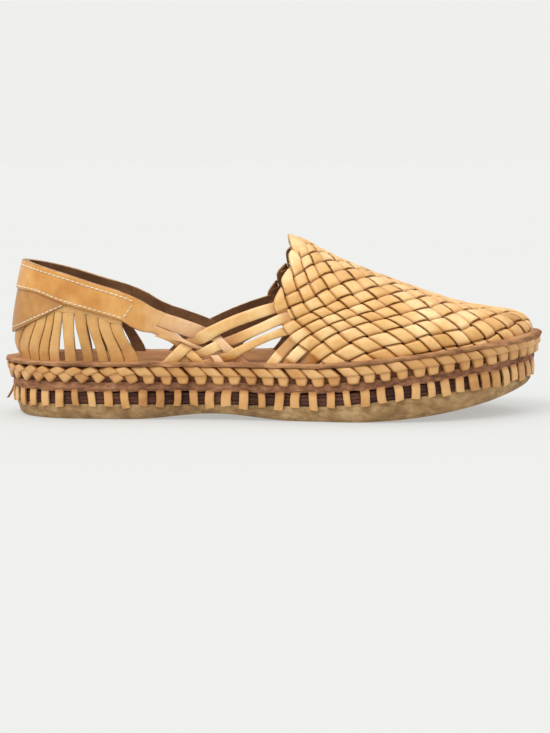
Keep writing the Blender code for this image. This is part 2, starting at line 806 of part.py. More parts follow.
def base_cutter(collection):
    """Block up to just above the footbed, which trims the foot of the upper."""
    steps = 30
    xs = [LENGTH * (1.14 * k / steps - 0.07) for k in range(steps + 1)]
    near = [Vector((x, -0.8 * WIDTH, RIM + GAP + lift(x))) for x in xs]
    near += [Vector((xs[-1], -0.8 * WIDTH, -OUTSOLE)), Vector((xs[0], -0.8 * WIDTH, -OUTSOLE))]
    far = [Vector((p.x, 0.8 * WIDTH, p.z)) for p in near]
    bm, _ = rings_mesh([near, far], closed_ends=True)
    return new_object("base_cutter", bm, collection, cutter=True)


def build_upper(collection, cutters):
    """Whole upper: woven vamp, crossing straps and slit heel as one wall, trimmed at the footbed."""
    upper = build_vamp(collection)
    pieces = [build_heel_panel(cutters)]
    for side, word in ((-1, "outer"), (1, "inner")):
        for i, rows in enumerate(RISING_STRAPS):
            pieces.append(strap(f"rising_{word}_{i + 1}", side, rows, 0.0, STRAP_THICKNESS, cutters))
        for i, rows in enumerate(FALLING_STRAPS):
            pieces.append(strap(f"falling_{word}_{i + 1}", side, rows, STRAP_THICKNESS - GAP,
                                STRAP_THICKNESS, cutters))
        pieces.append(strap(f"collar_{word}", side, COLLAR_STRAP, 0.0002, PANEL_DEPTH + 0.0006, cutters))
    for piece in pieces:
        union = upper.modifiers.new(piece.name, "BOOLEAN")
        union.operation = "UNION"
        union.solver = "EXACT"
        union.object = piece
    trim = upper.modifiers.new("trim", "BOOLEAN")
    trim.operation = "DIFFERENCE"
    trim.solver = "EXACT"
    trim.object = base_cutter(cutters)
    return upper


def main():
    for old in list(bpy.data.objects):
        bpy.data.objects.remove(old)
    collection = bpy.data.collections.new(COLLECTION)
    cutters = bpy.data.collections.new("cutters")
    bpy.context.scene.collection.children.link(collection)
    bpy.context.scene.collection.children.link(cutters)
    build_outsole(collection)
    build_midsole(collection)
    build_sole_lashing(collection)
    build_welt(collection)
    build_edge_braid(collection)
    build_footbed(collection)
    build_upper(collection, cutters)
    build_heel_band(collection)
    build_counter_patch(collection)


main()
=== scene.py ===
"""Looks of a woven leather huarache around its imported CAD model."""

import math
import random

import bmesh
import bpy
import numpy as np
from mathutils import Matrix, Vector, noise
from mathutils.bvhtree import BVHTree


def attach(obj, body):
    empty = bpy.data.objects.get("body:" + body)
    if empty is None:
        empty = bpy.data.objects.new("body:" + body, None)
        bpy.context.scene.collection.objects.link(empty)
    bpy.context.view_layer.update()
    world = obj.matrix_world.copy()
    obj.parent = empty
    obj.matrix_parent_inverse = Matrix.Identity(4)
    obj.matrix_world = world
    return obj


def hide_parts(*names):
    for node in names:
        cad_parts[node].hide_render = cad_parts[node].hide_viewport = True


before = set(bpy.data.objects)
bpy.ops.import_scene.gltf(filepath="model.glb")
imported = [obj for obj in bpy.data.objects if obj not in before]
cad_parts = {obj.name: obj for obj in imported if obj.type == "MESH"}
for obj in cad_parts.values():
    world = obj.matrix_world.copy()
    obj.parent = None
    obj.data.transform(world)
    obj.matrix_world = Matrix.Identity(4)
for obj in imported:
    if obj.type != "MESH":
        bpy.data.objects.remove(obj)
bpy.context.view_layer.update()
random.seed(7)

# Main sizes, the same as the solids'
LENGTH = 0.290
WIDTH = 0.100
INSTEP = 0.0655
FOOTBED_LOW = 0.0287
RIM = 0.0310
WELT_LOW = 0.0154
WELT_TOP = 0.0284
MIDSOLE_LOW = 0.0086
MIDSOLE_TOP = 0.0144
OUTSOLE_TOP = 0.0083
TREAD_INSET = 0.0100
UPPER_INSET = 0.0060
ARCH = 0.0030
TOE_SPRING = 0.0170
TOE_LIFT = 0.0140
SKIRT = 0.030
FALL = 0.040

# Outline of the footbed: share of length, outer and inner reach as shares of width
PLAN = [
    (0.000, 0.000, 0.000), (0.022, 0.180, 0.170), (0.085, 0.315, 0.305), (0.200, 0.365, 0.340),
    (0.370, 0.365, 0.325), (0.530, 0.440, 0.410), (0.660, 0.500, 0.495), (0.780, 0.470, 0.500),
    (0.890, 0.335, 0.435), (0.965, 0.130, 0.315), (1.000, -0.080, 0.080),
]

# Ridge of the last: share of length, sideways as share of width, height as share of instep
RIDGE = [
    (0.000, 0.020, 1.817), (0.207, 0.030, 1.542), (0.414, 0.040, 1.214), (0.528, 0.050, 1.000),
    (0.614, 0.060, 0.803), (0.697, 0.075, 0.650), (0.772, 0.085, 0.528), (0.848, 0.090, 0.421),
    (0.903, 0.090, 0.376), (0.938, 0.090, 0.348),
]

# Squareness of the cross section: share of length, sideways, upward
SECTION = [
    (0.000, 2.0, 2.0), (0.207, 2.0, 2.0), (0.414, 2.0, 1.9), (0.528, 2.0, 1.75),
    (0.638, 2.1, 1.75), (0.741, 2.3, 1.9), (0.828, 2.4, 2.0), (0.917, 2.4, 2.1),
]

# Lines on the side: share of length, height above the footbed as share of instep
COLLAR = [(0.034, 0.797), (0.117, 0.702), (0.175, 0.621), (0.219, 0.562), (0.255, 0.499),
          (0.280, 0.432), (0.308, 0.377), (0.342, 0.321), (0.374, 0.266)]
BAND_LOW = [(0.021, 0.560), (0.064, 0.540), (0.115, 0.461), (0.179, 0.382), (0.225, 0.321),
            (0.255, 0.246), (0.281, 0.203), (0.314, 0.124)]
PATCH_LOW = [(0.008, 0.189), (0.117, 0.443)]

# Straps: upper edge then lower edge, each as share of length and share of instep
RISING_STRAPS = [
    [(0.291, -0.031, 0.322, -0.031), (0.301, 0.017, 0.329, 0.006), (0.333, 0.157, 0.353, 0.107),
     (0.362, 0.237, 0.376, 0.150), (0.390, 0.299, 0.400, 0.214), (0.427, 0.374, 0.431, 0.278),
     (0.469, 0.441, 0.472, 0.345), (0.517, 0.504, 0.519, 0.420)],
    [(0.319, -0.031, 0.348, -0.031), (0.336, 0.046, 0.356, 0.009), (0.364, 0.099, 0.377, 0.037),
     (0.390, 0.159, 0.403, 0.092), (0.427, 0.224, 0.431, 0.140), (0.469, 0.304, 0.476, 0.231),
     (0.510, 0.389, 0.514, 0.308), (0.531, 0.412, 0.536, 0.344)],
    [(0.345, -0.031, 0.388, -0.038), (0.359, -0.006, 0.391, -0.027), (0.383, 0.032, 0.411, -0.006),
     (0.403, 0.064, 0.427, 0.020), (0.427, 0.111, 0.448, 0.079), (0.469, 0.198, 0.489, 0.171),
     (0.508, 0.272, 0.521, 0.218), (0.528, 0.305, 0.538, 0.244)],
]
FALLING_STRAPS = [
    [(0.303, 0.385, 0.286, 0.285), (0.333, 0.342, 0.317, 0.232), (0.377, 0.269, 0.355, 0.179),
     (0.403, 0.200, 0.384, 0.169), (0.422, 0.122, 0.405, 0.090), (0.442, 0.041, 0.421, 0.027),
     (0.459, -0.031, 0.433, -0.038)],
    [(0.286, 0.284, 0.276, 0.229), (0.317, 0.230, 0.303, 0.183), (0.341, 0.168, 0.333, 0.153),
     (0.366, 0.119, 0.353, 0.107), (0.390, 0.082, 0.370, 0.070), (0.403, 0.031, 0.386, 0.031),
     (0.412, -0.031, 0.392, -0.031)],
    [(0.297, 0.221, 0.283, 0.202), (0.319, 0.183, 0.305, 0.165), (0.336, 0.134, 0.320, 0.122),
     (0.353, 0.085, 0.334, 0.061), (0.367, 0.027, 0.347, 0.012), (0.379, -0.031, 0.355, -0.031)],
]
COLLAR_STRAP = [(0.262, 0.482, 0.240, 0.275), (0.280, 0.432, 0.259, 0.240), (0.303, 0.385, 0.276, 0.229)]

# Where each strap lies over and under the others: share of length and level
RISING_LEVELS = [
    [(0.300, 0.0), (0.328, 0.9), (0.349, -0.9), (0.388, 1.0), (0.430, 0.2), (0.480, 0.0), (0.505, -0.9)],
    [(0.330, 0.2), (0.358, -0.9), (0.388, 1.0), (0.413, -0.9), (0.450, 0.2), (0.500, 0.3), (0.520, -0.6)],
    [(0.360, 0.3), (0.400, -0.9), (0.432, 1.0), (0.470, 0.2), (0.510, 0.1), (0.522, -0.9)],
]
FALLING_LEVELS = [
    [(0.300, 0.0), (0.345, 0.1), (0.384, -1.0), (0.412, 1.0), (0.436, -1.0), (0.450, -0.4)],
    [(0.285, 0.0), (0.320, 0.2), (0.347, 1.0), (0.378, -1.0), (0.400, 1.0), (0.410, 0.2)],
    [(0.290, 0.1), (0.312, 0.0), (0.334, -1.0), (0.356, 1.0), (0.372, 0.2)],
]

# Crossings of the weave seen from the side, in millimetres from the heel and from the floor.
# Each row is two steps further down from the ridge, and starts one column behind the throat.
WEAVE_ROWS = {
    4: [(158.3, 84.3), (165.4, 81.1), (175.3, 77.0), (187.2, 73.1), (199.8, 69.4), (213.1, 66.5),
        (226.7, 63.5), (238.0, 59.9), (251.1, 56.4), (263.6, 53.8), (278.0, 49.8)],
    6: [(154.6, 75.0), (162.9, 71.7), (172.8, 68.9), (185.3, 66.0), (197.9, 63.8), (211.8, 62.0),
        (226.1, 58.7), (239.2, 56.0), (253.3, 52.2), (268.2, 47.0), (279.1, 42.6)],
    8: [(150.1, 65.5), (159.8, 62.3), (171.0, 60.2), (182.8, 59.3), (196.0, 57.8), (209.9, 55.9),
        (224.9, 53.1), (241.6, 47.8), (255.5, 42.3), (266.8, 38.9)],
    10: [(145.4, 56.2), (155.4, 53.6), (169.1, 54.3), (180.9, 53.4), (194.1, 52.5), (210.6, 49.9),
         (225.5, 45.9), (239.9, 39.5), (252.3, 35.9)],
    12: [None, (151.7, 44.8), (164.1, 46.2), (177.8, 47.1), (192.2, 45.4), (211.2, 41.6), (225.5, 37.1)],
    14: [(139.3, 30.3), (149.8, 33.3), (162.3, 36.8), (175.3, 36.9), (192.2, 36.8), (208.7, 34.0)],
}
RIDGE_CROSSINGS = [158.5, 168.0, 178.3, 188.0, 198.8, 210.2, 221.4, 234.5, 245.8, 257.2, 270.5]
SHOULDER_CROSSINGS = [160.5, 167.5, 177.5, 187.9, 199.2, 211.1, 222.9, 235.8, 247.5, 259.2, 272.6]

# Heel strips: place of both edges at the footbed and at the top of the slits, in millimetres
HEEL_STRIPS = [
    ((4.0, 7.3), (8.0, 12.8)), ((7.4, 13.3), (12.9, 18.8)), ((13.5, 18.9), (18.9, 24.1)),
    ((19.1, 25.0), (24.2, 28.6)), ((25.2, 31.2), (28.7, 33.0)), ((34.0, 40.5), (33.0, 39.8)),
    ((44.0, 49.6), (39.8, 46.1)), ((52.0, 57.5), (46.1, 52.4)), ((58.6, 66.0), (52.4, 58.7)),
    ((66.0, 74.2), (58.7, 65.2)),
]
SLIT_TOP = [(0.021, 0.382), (0.114, 0.379), (0.159, 0.363), (0.181, 0.339), (0.202, 0.299),
            (0.224, 0.285), (0.259, 0.262), (0.283, 0.231)]

# Strips turned over the edge of the throat: rear edge then front edge, in millimetres
# from the heel and from the floor, and the line behind which the woven strips stop
THROAT_LOBES = [
    [(152.9, 96.4, 156.4, 94.9), (152.2, 95.2, 159.5, 92.2), (153.7, 90.0, 162.2, 89.6),
     (158.3, 84.7, 162.3, 86.6)],
    [(153.9, 89.6, 154.9, 89.3), (152.1, 86.0, 158.3, 84.5), (153.0, 80.9, 158.8, 80.9),
     (154.8, 75.4, 159.4, 77.5)],
    [(152.6, 80.4, 153.4, 79.6), (148.7, 74.9, 154.5, 75.2), (148.5, 71.5, 154.6, 71.8),
     (150.4, 65.7, 155.3, 68.2)],
    [(148.2, 70.6, 149.0, 69.9), (144.7, 64.0, 149.9, 65.7), (144.5, 60.6, 150.3, 61.3),
     (145.6, 56.4, 150.4, 58.2)],
]
THROAT_LINE = [(55.5, 146.5), (62.0, 147.0), (71.5, 151.0), (78.0, 153.0), (86.0, 155.5), (96.0, 158.0)]

# Top of the throat in millimetres, and how far back its far side leans for each step down
THROAT_TOP = 96.4
FAR_SHIFT = 0.105

# Straps and woven strips: thickness, where they lie on the last, and how far they rise and dip
STRAP_THICKNESS = 0.0017
STRIP_THICKNESS = 0.0015
STRAP_BASE = -0.0017
STRAP_LIFT = 0.0011
WEAVE_LIFT = 0.00115
STRIP_SHARE = 0.84
STRIP_SINK = 0.0060

# Grid of the weave: first and last column, lowest row, step along a strip, and the fewest
# steps of a strip that is kept
WEAVE_REAR = -2.6
WEAVE_TIP = 10.8
WEAVE_LOWEST = 17
WEAVE_STEP = 0.1
FEWEST_STEPS = 9

# First column of the strips below the throat: falling ones, and rising ones low on the side
OPEN_START = -0.55
SIDE_START = -1.6

# Scale and setback of each heel strip on the inner side
FAR_STRIPS = [(0.79, 0.0)] * 5 + [(1.0513, 7.9)] * 4 + [(1.0, 0.0)]
BEND_END = 0.86

# Leather of the heel: where it lies on the last, and its thickness
HEEL_BASE = -0.0036
HEEL_THICKNESS = 0.0016
PATCH_BASE = -0.0019
PATCH_THICKNESS = 0.0010
BAND_THICKNESS = 0.0018

# Rings of the sole's layers: inset, height over a base (for the outsole a share of its own
# height), roughness, and for some the droop at the toe
OUTSOLE_RINGS = [
    (0.0230, 0.0, 0.0), (TREAD_INSET, 0.0, 0.0), (0.0086, 0.08, 0.3), (0.0074, 0.24, 0.7),
    (0.0066, 0.5, 1.0), (0.0063, 0.75, 1.0), (0.0062, 0.95, 0.6), (0.0066, 1.0, 0.4),
]
MIDSOLE_RINGS = [
    (0.0066, 0.0, 0.4), (0.0061, 0.0003, 0.6), (0.0060, 0.0016, 0.8), (0.0064, 0.0020, 0.6),
    (0.0060, 0.0024, 0.8), (0.0060, 0.0037, 0.8), (0.0065, 0.0041, 0.6), (0.0061, 0.0045, 0.8),
]
WELT_RINGS = [
    (0.0080, 0.0010, 0.2), (0.0050, -0.0002, 2.2), (0.0042, 0.0005, 2.6), (0.0038, 0.0013, 1.8),
    (0.0039, 0.0026, 1.2), (0.0041, 0.0038, 1.0), (0.0044, 0.0048, 0.6), (0.0058, 0.0052, 0.4),
]
FOOTBED_RINGS = [
    (0.0030, 0.0001, 0.1, 0.0022), (0.0010, 0.0, 0.7, 0.0022), (0.0003, 0.0004, 1.0, 0.0017),
    (0.0001, 0.0010, 1.0, 0.0013), (0.0002, 0.0017, 1.0, 0.0012),
]
RIM_RINGS = [(0.0007, -0.0001, 0.8, 0.0010), (0.0016, 0.0, 0.5, 0.0004), (0.0040, -0.0002, 0.3),
             (0.0090, -0.0003, 0.1)]

# Corners of the braid's lobes in millimetres along and up the edge, for a plait of this pitch
LEAF_PITCH = 0.0094
UPPER_FOLD = [(-1.4, 28.9), (8.2, 28.9), (13.9, 23.5), (4.7, 22.9)]
LOWER_FOLD = [(5.0, 25.0), (13.6, 24.8), (12.8, 19.0), (7.4, 18.6)]
UPPER_LEAF = [(-2.0, 26.2), (5.6, 29.3), (11.4, 26.2), (3.6, 22.9)]
LOWER_LEAF = [(3.8, 24.6), (9.2, 26.6), (15.2, 23.0), (9.2, 18.8)]

# Plait: number of lobes, and inset, thickness and roundness of the lower and upper ones
BRAID_COUNT = 75
LOWER_LOBE = (0.0037, 0.0018, 0.34)
UPPER_LOBE = (0.0029, 0.0019, 0.26)

# Heights and insets of the thongs over the midsole, and of the loose tail at the heel
RIB_LEVELS = [0.0163, 0.0150, 0.0136, 0.0118, 0.0100, 0.0084]
RIB_INSETS = [0.0060, 0.0059, 0.0057, 0.0056, 0.0056, 0.0057, 0.0059]
RIB_PITCH = 0.0090
RIB_WIDTH = 0.0045
RIB_THICKNESS = 0.0017
TAIL_THICKNESS = 0.0012
TAIL_HALF = 0.0011
TAIL = [(0.0170, 0.0052), (0.0150, 0.0046), (0.0125, 0.0036), (0.0100, 0.0022), (0.0078, 0.0008)]

# Reach of the collar band round the heel, how far its ends lean, and its rows of stitches
BAND_REACH = 0.0738
BAND_LEAN = 0.0040
SEAM_REACH = 0.0735
SEAM_LEAN = 0.0080
SEAM_LOW = 0.10
SEAM_HIGH = 0.83
PATCH_TOP = [(x, z + 0.045) for x, z in BAND_LOW]
PATCH_REACH = 0.0440
PATCH_SEAM = 0.0425
STITCH_PITCH = 0.0027
STITCH_LENGTH = 0.0021
STITCH_RADIUS = 0.00030
FINE_RADIUS = 0.00028
SEAM_LIFT = 0.0002
PATCH_SEAM_LIFT = -0.0008


# Curves and tables

def table(rows, at, column=1):
    """Smooth value of a column at a place between the rows."""
    xs = [row[0] for row in rows]
    if at <= xs[0]:
        return rows[0][column]
    if at >= xs[-1]:
        return rows[-1][column]
    i = max(k for k in range(len(xs)) if xs[k] <= at)

    def slope(k):
        a, b = max(k - 1, 0), min(k + 1, len(rows) - 1)
        return (rows[b][column] - rows[a][column]) / (xs[b] - xs[a])

    step = xs[i + 1] - xs[i]
    t = (at - xs[i]) / step
    return ((2 * t ** 3 - 3 * t ** 2 + 1) * rows[i][column]
            + (t ** 3 - 2 * t ** 2 + t) * slope(i) * step
            + (-2 * t ** 3 + 3 * t ** 2) * rows[i + 1][column]
            + (t ** 3 - t ** 2) * slope(i + 1) * step)


def ease(low, high, at):
    """Smooth step from 0 to 1 between two places, which may be given in either order."""
    t = min(max((at - low) / (high - low), 0.0), 1.0)
    return t * t * (3 - 2 * t)


def spline_point(points, t):
    """Point on a centripetal Catmull-Rom span between the middle two of four points."""
    k = [0.0]
    for a, b in zip(points, points[1:]):
        k.append(k[-1] + math.sqrt(math.dist(a, b)))
    at = k[1] + (k[2] - k[1]) * t
    p = [np.array(point) for point in points]

    def mix(a, b, start, end):
        return a + (b - a) * (at - start) / (end - start)

    first = [mix(p[i], p[i + 1], k[i], k[i + 1]) for i in range(3)]
    second = [mix(first[i], first[i + 1], k[i], k[i + 2]) for i in range(2)]
    return mix(second[0], second[1], k[1], k[2])


def plan_curve():
    """Dense closed outline of the footbed, from the heel along the outer side to the toe and back."""
    outer = [(share * LENGTH, -reach * WIDTH) for share, reach, _ in PLAN]
    inner = [(share * LENGTH, reach * WIDTH) for share, _, reach in PLAN]
    points = outer + inner[-2:0:-1]
    count = len(points)
    dense = []
    for i in range(count):
        span = [points[(i + k - 1) % count] for k in range(4)]
        dense += [spline_point(span, j / 24) for j in range(24)]
    return np.array(dense)


CURVE = plan_curve()
CENTRE = (CURVE.min(axis=0) + CURVE.max(axis=0)) / 2
CURVE_STEPS = np.linalg.norm(np.roll(CURVE, -1, axis=0) - CURVE, axis=1)
CURVE_ALONG = np.concatenate([[0.0], np.cumsum(CURVE_STEPS)])
CURVE_LENGTH = float(CURVE_ALONG[-1])
CLOSED = np.vstack([CURVE, CURVE[:1]])


def edge_at(at, inset):
    """Points of the footbed's outline moved inwards, with the inward directions."""
    at = np.asarray(at) % CURVE_LENGTH

    def curve(place):
        place = place % CURVE_LENGTH
        return np.stack([np.interp(place, CURVE_ALONG, CLOSED[:, k]) for k in range(2)], axis=-1)

    ahead = curve(at + 0.002) - curve(at - 0.002)
    ahead /= np.linalg.norm(ahead, axis=-1)[..., None]
    inward = np.stack([-ahead[..., 1], ahead[..., 0]], axis=-1)
    return curve(at) + inward * np.asarray(inset)[..., None], inward


def edge_x(at):
    """Place along the shoe of a place on the footbed's outline."""
    return edge_at(at, 0.0)[0][0]


def lift(x):
    """Rise of every layer towards the toe."""
    start = 0.576 * LENGTH
    return TOE_LIFT * max(0.0, (x - start) / (LENGTH - start)) ** 1.12


def tread(x):
    """Underside of the outsole: flat at the heel and the ball, arched between, rising at the toe."""
    arch_from, arch_to, spring_from = 0.24 * LENGTH, 0.54 * LENGTH, 0.628 * LENGTH
    height = 0.0
    if arch_from < x < arch_to:
        height = ARCH * math.sin(math.pi * (x - arch_from) / (arch_to - arch_from)) ** 2
    if x > spring_from:
        height += TOE_SPRING * ((x - spring_from) / (LENGTH - spring_from)) ** 1.9
    return height


def side_height(share):
    """Height of a line on the side of the last, given as a share of the instep."""
    return RIM + share * INSTEP


# Surface of the last

def fan(x):
    """Place on the ridge that the section from a place on the edge runs up to."""
    for first, last, edge in ((0.214, 0.152, UPPER_INSET), (0.80, 0.917, LENGTH - UPPER_INSET)):
        start = first * LENGTH
        reach = edge - start
        t = (x - start) / reach
        if t > 0:
            kept = (last * LENGTH - start) / reach
            return start + kept * reach * (1 - (1 - min(t, 1.0)) ** (1 / kept))
    return x


def heel_bulge(x, height):
    """Fullness of the back of the heel just above the footbed."""
    if height <= 0:
        return 0.0
    full = 0.0039 * math.exp(-max(x - 0.004, 0) / 0.035)
    return full * (height / 0.016) * math.exp(1 - height / 0.016)


FOOT, FOOT_INWARD = edge_at(np.arange(240) / 240 * CURVE_LENGTH, UPPER_INSET)
FOOT_STEPS = np.linalg.norm(np.roll(FOOT, -1, axis=0) - FOOT, axis=1)
FOOT_ALONG = np.concatenate([[0.0], np.cumsum(FOOT_STEPS)])


def last_point(along, angle):
    """Point of the last above a place on its edge: angle 0 is the edge and a right angle the ridge."""
    at = along % FOOT_ALONG[-1]
    i = min(int(np.searchsorted(FOOT_ALONG, at, side="right")) - 1, len(FOOT) - 1)
    j = (i + 1) % len(FOOT)
    w = (at - FOOT_ALONG[i]) / FOOT_STEPS[i]
    foot = FOOT[i] * (1 - w) + FOOT[j] * w
    inward = FOOT_INWARD[i] * (1 - w) + FOOT_INWARD[j] * w
    base = RIM + lift(foot[0])
    if angle < 0:
        return Vector((foot[0], foot[1], base + FALL * angle))
    ridge_x = fan(foot[0])
    share = ridge_x / LENGTH
    ridge_y = table(RIDGE, share, 1) * WIDTH
    ridge_z = RIM + table(RIDGE, share, 2) * INSTEP
    flat = math.cos(angle) ** (2 / table(SECTION, share, 1)) if angle < math.pi / 2 else 0.0
    rise = math.sin(angle) ** (2 / table(SECTION, share, 2))
    z = base + (ridge_z - base) * rise
    out = heel_bulge(foot[0], z - base)
    x = ridge_x + (foot[0] - ridge_x) * flat - inward[0] * out
    y = ridge_y + (foot[1] - ridge_y) * flat - inward[1] * out
    return Vector((x, y, z))


def last_surface():
    """Search tree of the whole last, for laying straps and woven strips on it."""
    columns = 320
    angles = [-SKIRT / FALL, -0.5 * SKIRT / FALL] + [math.pi / 2 * k / 64 for k in range(65)]
    points = []
    for i in range(columns):
        points += [last_point(FOOT_ALONG[-1] * i / columns, angle) for angle in angles]
    rows = len(angles)
    faces = []
    for i in range(columns):
        j = (i + 1) % columns
        for k in range(rows - 1):
            faces.append((i * rows + k, j * rows + k, j * rows + k + 1, i * rows + k + 1))
    return BVHTree.FromPolygons(points, faces)


LAST = last_surface()


def touch(side, x, z):
    """Point and outward direction of the last seen from one side."""
    point, normal, _, _ = LAST.ray_cast(Vector((x, side * 0.3, z)), Vector((0, -side, 0)))
    if point is None:
        point, normal, _, _ = LAST.find_nearest(Vector((x, ridge_side(x) + side * 0.001, z)))
    if normal.y * side < 0:
        normal = -normal
    return point, normal


def climb(along, level):
    """Point on the section above a place on the edge, where it meets a line given over x."""
    low, high = -SKIRT / FALL, math.pi / 2
    for _ in range(24):
        middle = (low + high) / 2
        point = last_point(along, middle)
        if point.z < level(point.x):
            low = middle
        else:
            high = middle
    angle = (low + high) / 2
    point = last_point(along, angle)
    ahead = last_point(along + 0.001, angle) - last_point(along - 0.001, angle)
    up = last_point(along, angle + 0.01) - last_point(along, angle - 0.01)
    return point, ahead.cross(up).normalized()


# Weave

def ridge_side(x):
    """Sideways place of the ridge."""
    return table(RIDGE, x / LENGTH, 1) * WIDTH


def drop_on(x, y):
    """Point of the last straight below a place."""
    height = RIM + table(RIDGE, x / LENGTH, 2) * INSTEP
    point, _, _, _ = LAST.ray_cast(Vector((x, y, 0.3)), Vector((0, 0, -1)))
    return point or LAST.find_nearest(Vector((x, y, height)))[0]


def weave_map():
    """Smooth map from the weave's own grid to the last, fitted to the crossings."""
    grid, places = [], []

    def add(column, row, point):
        grid.append((2.0 * column, float(row)))
        places.append(tuple(point))
        if row > 0:
            mirror = Vector((point.x, 2 * ridge_side(point.x) - point.y, point.z))
            grid.append((2.0 * column, -float(row)))
            places.append(tuple(LAST.find_nearest(mirror)[0]))

    for k, x in enumerate(RIDGE_CROSSINGS):
        add(k - 1, 0, drop_on(x / 1000, ridge_side(x / 1000)))
    for k, x in enumerate(SHOULDER_CROSSINGS):
        below_x, below_z = WEAVE_ROWS[4][k]
        below = touch(-1, below_x / 1000, below_z / 1000)[0]
        reach = (ridge_side(below.x) - below.y) / 2
        add(k - 1, 2, drop_on(x / 1000, ridge_side(x / 1000) - reach))
    for row, crossings in WEAVE_ROWS.items():
        for k, crossing in enumerate(crossings):
            if crossing:
                add(k - 1, row, touch(-1, crossing[0] / 1000, crossing[1] / 1000)[0])
    grid = np.array(grid)
    places = np.array(places)
    count = len(grid)
    matrix = np.zeros((count + 3, count + 3))
    matrix[:count, :count] = plate(grid, grid) + 0.4 * np.eye(count)
    matrix[:count, count] = 1.0
    matrix[:count, count + 1:] = grid
    matrix[count:, :count] = matrix[:count, count:].T
    right = np.vstack([places, np.zeros((3, 3))])
    return grid, np.linalg.solve(matrix, right)


def plate(a, b):
    """Thin plate kernel between two lists of places."""
    squares = ((a[:, None, :] - b[None, :, :]) ** 2).sum(axis=2)
    return squares * np.log(squares + 1e-12) / 2


WEAVE_GRID, WEAVE_WEIGHTS = weave_map()


def weave_points(columns, rows):
    """Points and outward directions of the last at places in the weave's grid."""
    at = np.stack([2.0 * np.asarray(columns).ravel(), np.asarray(rows).ravel()], axis=1)
    count = len(WEAVE_GRID)
    flat = plate(at, WEAVE_GRID) @ WEAVE_WEIGHTS[:count]
    flat += WEAVE_WEIGHTS[count] + at @ WEAVE_WEIGHTS[count + 1:]
    points, outs = [], []
    for place in flat:
        point, normal, _, _ = LAST.find_nearest(Vector(place))
        inside = Vector((point.x * 0.9 + 0.016, 0.004, RIM + 0.012))
        if (point - inside).dot(normal) < 0:
            normal = -normal
        points.append(point)
        outs.append(normal)
    return np.array(points), np.array(outs)


# Meshes

# Cross sections of strips: across and height. Faces from the front number on are the flesh side
THONG = [(-1.0, 0.42), (-0.97, 0.76), (-0.86, 0.95), (-0.45, 1.03), (0.0, 1.06), (0.45, 1.03),
         (0.86, 0.95), (0.97, 0.76), (1.0, 0.42), (0.96, 0.06), (0.4, 0.0), (-0.4, 0.0), (-0.96, 0.06)]
THONG_ACROSS = np.array([across for across, _ in THONG])
FRONT = 9
ROLL_FRONT = 8
TURNS = [math.pi * k / ROLL_FRONT for k in range(ROLL_FRONT + 1)]
ROLL = [(-math.cos(turn), 0.5 + 0.5 * math.sin(turn) ** 0.7) for turn in TURNS]
ROLL += [(math.cos(turn), 0.5 - 0.5 * math.sin(turn) ** 0.7) for turn in TURNS[1:-1]]


def wide_section(count):
    """Cross section of a broad strap, with enough points to follow the last."""
    steps = [0.9 - 1.8 * k / count for k in range(count + 1)]
    top = [(-1.0, 0.45), (-0.985, 0.8), (-0.94, 0.97)] + [(-step, 1.0) for step in steps]
    top += [(0.94, 0.97), (0.985, 0.8), (1.0, 0.45)]
    return top + [(0.97, 0.05)] + [(step, 0.0) for step in steps] + [(-0.97, 0.05)], len(top)


class Pile:
    """Vertices and faces of one piece, with the values that its leather reads."""

    def __init__(self):
        self.points = []
        self.values = []
        self.faces = []
        self.slots = []

    def put(self, point, tone, along=0.0, across=0.0, shade=1.0):
        """One vertex."""
        self.points.append(point)
        self.values.append((tone, along, across, shade))

    def face(self, corners, slot=0):
        """One face."""
        self.faces.append(corners)
        self.slots.append(slot)

    def rings(self, start, count, size, front=None):
        """Faces between rings of vertices, with the flesh side from a given number on."""
        for i in range(count - 1):
            a = start + i * size
            for k in range(size):
                j = (k + 1) % size
                flesh_side = front is not None and front <= k < size - 1
                self.face((a + k, a + j, a + size + j, a + size + k), int(flesh_side))

    def tube(self, start, count, size, front=None):
        """Rings of vertices joined and closed at both ends."""
        self.rings(start, count, size, front)
        last = start + (count - 1) * size
        self.face(tuple(range(start + size - 1, start - 1, -1)))
        self.face(tuple(range(last, last + size)))

    def ribbon(self, rows, section, front, tone):
        """Closed strip through rows of places, outward directions, low side, thickness and shade."""
        start = len(self.points)
        size = len(section)
        far = 0.0
        for i, (places, outs, low, thickness, shade) in enumerate(rows):
            if i:
                far += float(np.linalg.norm(places[size // 3] - rows[i - 1][0][size // 3]))
            for k, (across, height) in enumerate(section):
                self.put(places[k] + outs[k] * (low + height * thickness), tone, far, across, shade)
        self.tube(start, len(rows), size, front)


def placed(name, data):
    """Object for a mesh, a lamp or a camera, in the scene."""
    made = bpy.data.objects.new(name, data)
    bpy.context.scene.collection.objects.link(made)
    return made


def finish_piece(name, pile, materials, node, stands_in=True, smooth=50):
    """Object from a pile of faces, moved from the heel to the shoe's own origin."""
    mesh = bpy.data.meshes.new(name)
    shift = np.array([CENTRE[0], CENTRE[1], 0.0])
    mesh.from_pydata([tuple(point - shift) for point in pile.points], [], pile.faces)
    for key, values in zip(("tone", "along", "across", "shade"), zip(*pile.values)):
        layer = mesh.attributes.new(key, "FLOAT", "POINT")
        layer.data.foreach_set("value", [float(value) for value in values])
    for made in materials:
        mesh.materials.append(made)
    mesh.polygons.foreach_set("material_index", pile.slots)
    bm = bmesh.new()
    bm.from_mesh(mesh)
    bmesh.ops.recalc_face_normals(bm, faces=bm.faces)
    bm.to_mesh(mesh)
    bm.free()
    piece = placed(name, mesh)
    mesh.shade_smooth()
    if smooth:
        mesh.set_sharp_from_angle(angle=math.radians(smooth))
    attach(piece, "root")
    if stands_in:
        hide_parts(node)


# Materials

